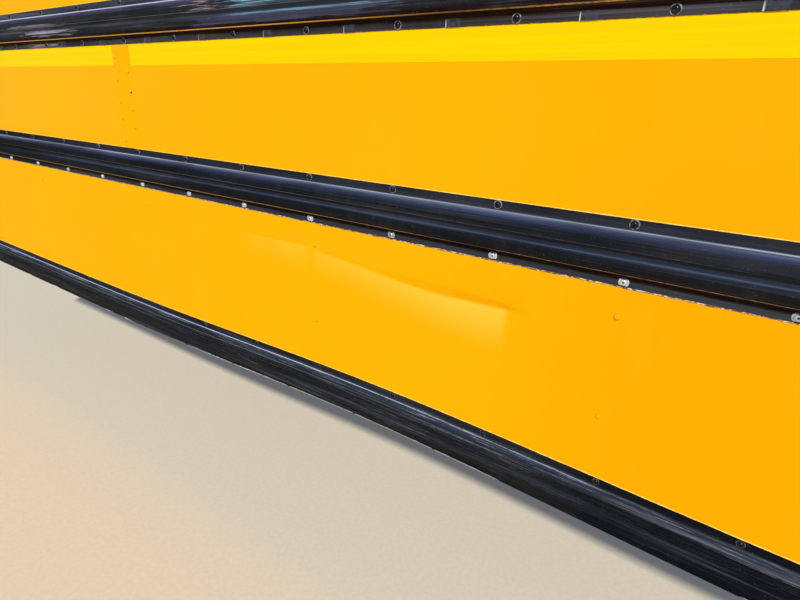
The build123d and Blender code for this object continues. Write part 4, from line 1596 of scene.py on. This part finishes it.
def lay_floor(settings):
    """The plain floor, with a faint grain."""
    reach, level = settings.floor_reach, settings.floor_level
    mesh = bpy.data.meshes.new("studio_floor")
    sides = ((-1, -1), (1, -1), (1, 1), (-1, 1))
    mesh.from_pydata([(x * reach, y * reach, level) for x, y in sides], [], [(0, 1, 2, 3)])
    material, shader, vector = new_material("studio_floor")
    tone = wall_colours().floor
    paler = [min(1.0, value * 1.05) for value in tone]
    grain = ramp(noise(vector, 90.0, 3.0), 0.3, 0.7)
    feed(shader, Base_Color=blended(grain, tone, paler), Roughness=0.85)
    mesh.materials.append(material)
    linked("studio_floor", mesh)


def hang_key(settings):
    """The key light, a soft sun."""
    sun = bpy.data.lights.new("key", "SUN")
    sun.energy = settings.key_strength
    sun.angle = settings.key_angle
    sun.color = SUNLIGHT
    key = linked("key", sun)
    key.rotation_euler = Vector(settings.key_direction).to_track_quat("-Z", "Y").to_euler()


def light_sky(settings):
    """The light from all round, brighter where the camera or a sheen sees it."""
    world = bpy.data.worlds.new("studio")
    bpy.context.scene.world = world
    world.use_nodes = True
    tree = world.node_tree
    seen_by = put(tree, "ShaderNodeLightPath").outputs
    direction = put(tree, "ShaderNodeTexCoord").outputs["Generated"]
    tint = blended(ramp(axes_of(direction)[2], 0.0, 0.7), SKY_LOW, SKY_HIGH)
    seen = highest(seen_by["Is Camera Ray"], seen_by["Is Glossy Ray"])
    feed(tree.nodes["Background"], Color=tint, Strength=ramp(seen, 0.0, 1.0, settings.sky_strength, 1.0))


def set_camera(settings):
    """The camera, turned, pitched and rolled where the settings say."""
    data = bpy.data.cameras.new("camera")
    data.sensor_width = 36.0
    data.lens = settings.lens
    data.clip_start = 0.01
    camera = linked("camera", data)
    turn = Euler((0.0, 0.0, settings.camera_yaw)).to_matrix()
    look = Euler((math.pi / 2 - settings.camera_pitch, 0.0, 0.0)).to_matrix()
    roll = Euler((0.0, 0.0, settings.camera_roll)).to_matrix()
    camera.matrix_world = (turn @ look @ roll).to_4x4()
    camera.location = settings.camera_place
    bpy.context.scene.camera = camera


class WALL_OT_stage(bpy.types.Operator):
    """Sets the plain floor, the soft light and the camera"""

    bl_idname = "wall.stage"
    bl_label = "Stage"

    def execute(self, context):
        settings = context.scene.wall_stage
        lay_floor(settings)
        hang_key(settings)
        light_sky(settings)
        set_camera(settings)
        context.scene.view_settings.view_transform = "Standard"
        return {"FINISHED"}


OPERATORS = (
    WALL_OT_side_sheets,
    WALL_OT_skirt,
    WALL_OT_rub_rails,
    WALL_OT_reflective_tape,
    WALL_OT_rail_screws,
    WALL_OT_skin_rivets,
    WALL_OT_lining_fasteners,
    WALL_OT_edge_sealer,
    WALL_OT_inner_frame,
    WALL_OT_stage,
)


class WALL_PT_panel(bpy.types.Panel):
    """Lists the wall's operators"""

    bl_idname = "WALL_PT_panel"
    bl_label = "Bus wall"
    bl_space_type = "VIEW_3D"
    bl_region_type = "UI"
    bl_category = "Bus wall"

    def draw(self, context):
        for operator in OPERATORS:
            self.layout.operator(operator.bl_idname)


CLASSES = (WallSizes, WallColours, StageSettings, *OPERATORS, WALL_PT_panel)


def register():
    """Adds the settings, the operators and the panel."""
    for item in CLASSES:
        bpy.utils.register_class(item)
    bpy.types.Scene.wall_sizes = PointerProperty(type=WallSizes)
    bpy.types.Scene.wall_colours = PointerProperty(type=WallColours)
    bpy.types.Scene.wall_stage = PointerProperty(type=StageSettings)


def unregister():
    """Takes them away again."""
    del bpy.types.Scene.wall_stage
    del bpy.types.Scene.wall_colours
    del bpy.types.Scene.wall_sizes
    for item in reversed(CLASSES):
        bpy.utils.unregister_class(item)


def main():
    """Registers the add-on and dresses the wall."""
    register()
    bpy.ops.wall.side_sheets()
    bpy.ops.wall.skirt()
    bpy.ops.wall.rub_rails()
    bpy.ops.wall.reflective_tape()
    bpy.ops.wall.rail_screws()
    bpy.ops.wall.skin_rivets()
    bpy.ops.wall.lining_fasteners()
    bpy.ops.wall.edge_sealer()
    bpy.ops.wall.inner_frame()
    bpy.ops.wall.stage()


if __name__ == "__main__":
    main()
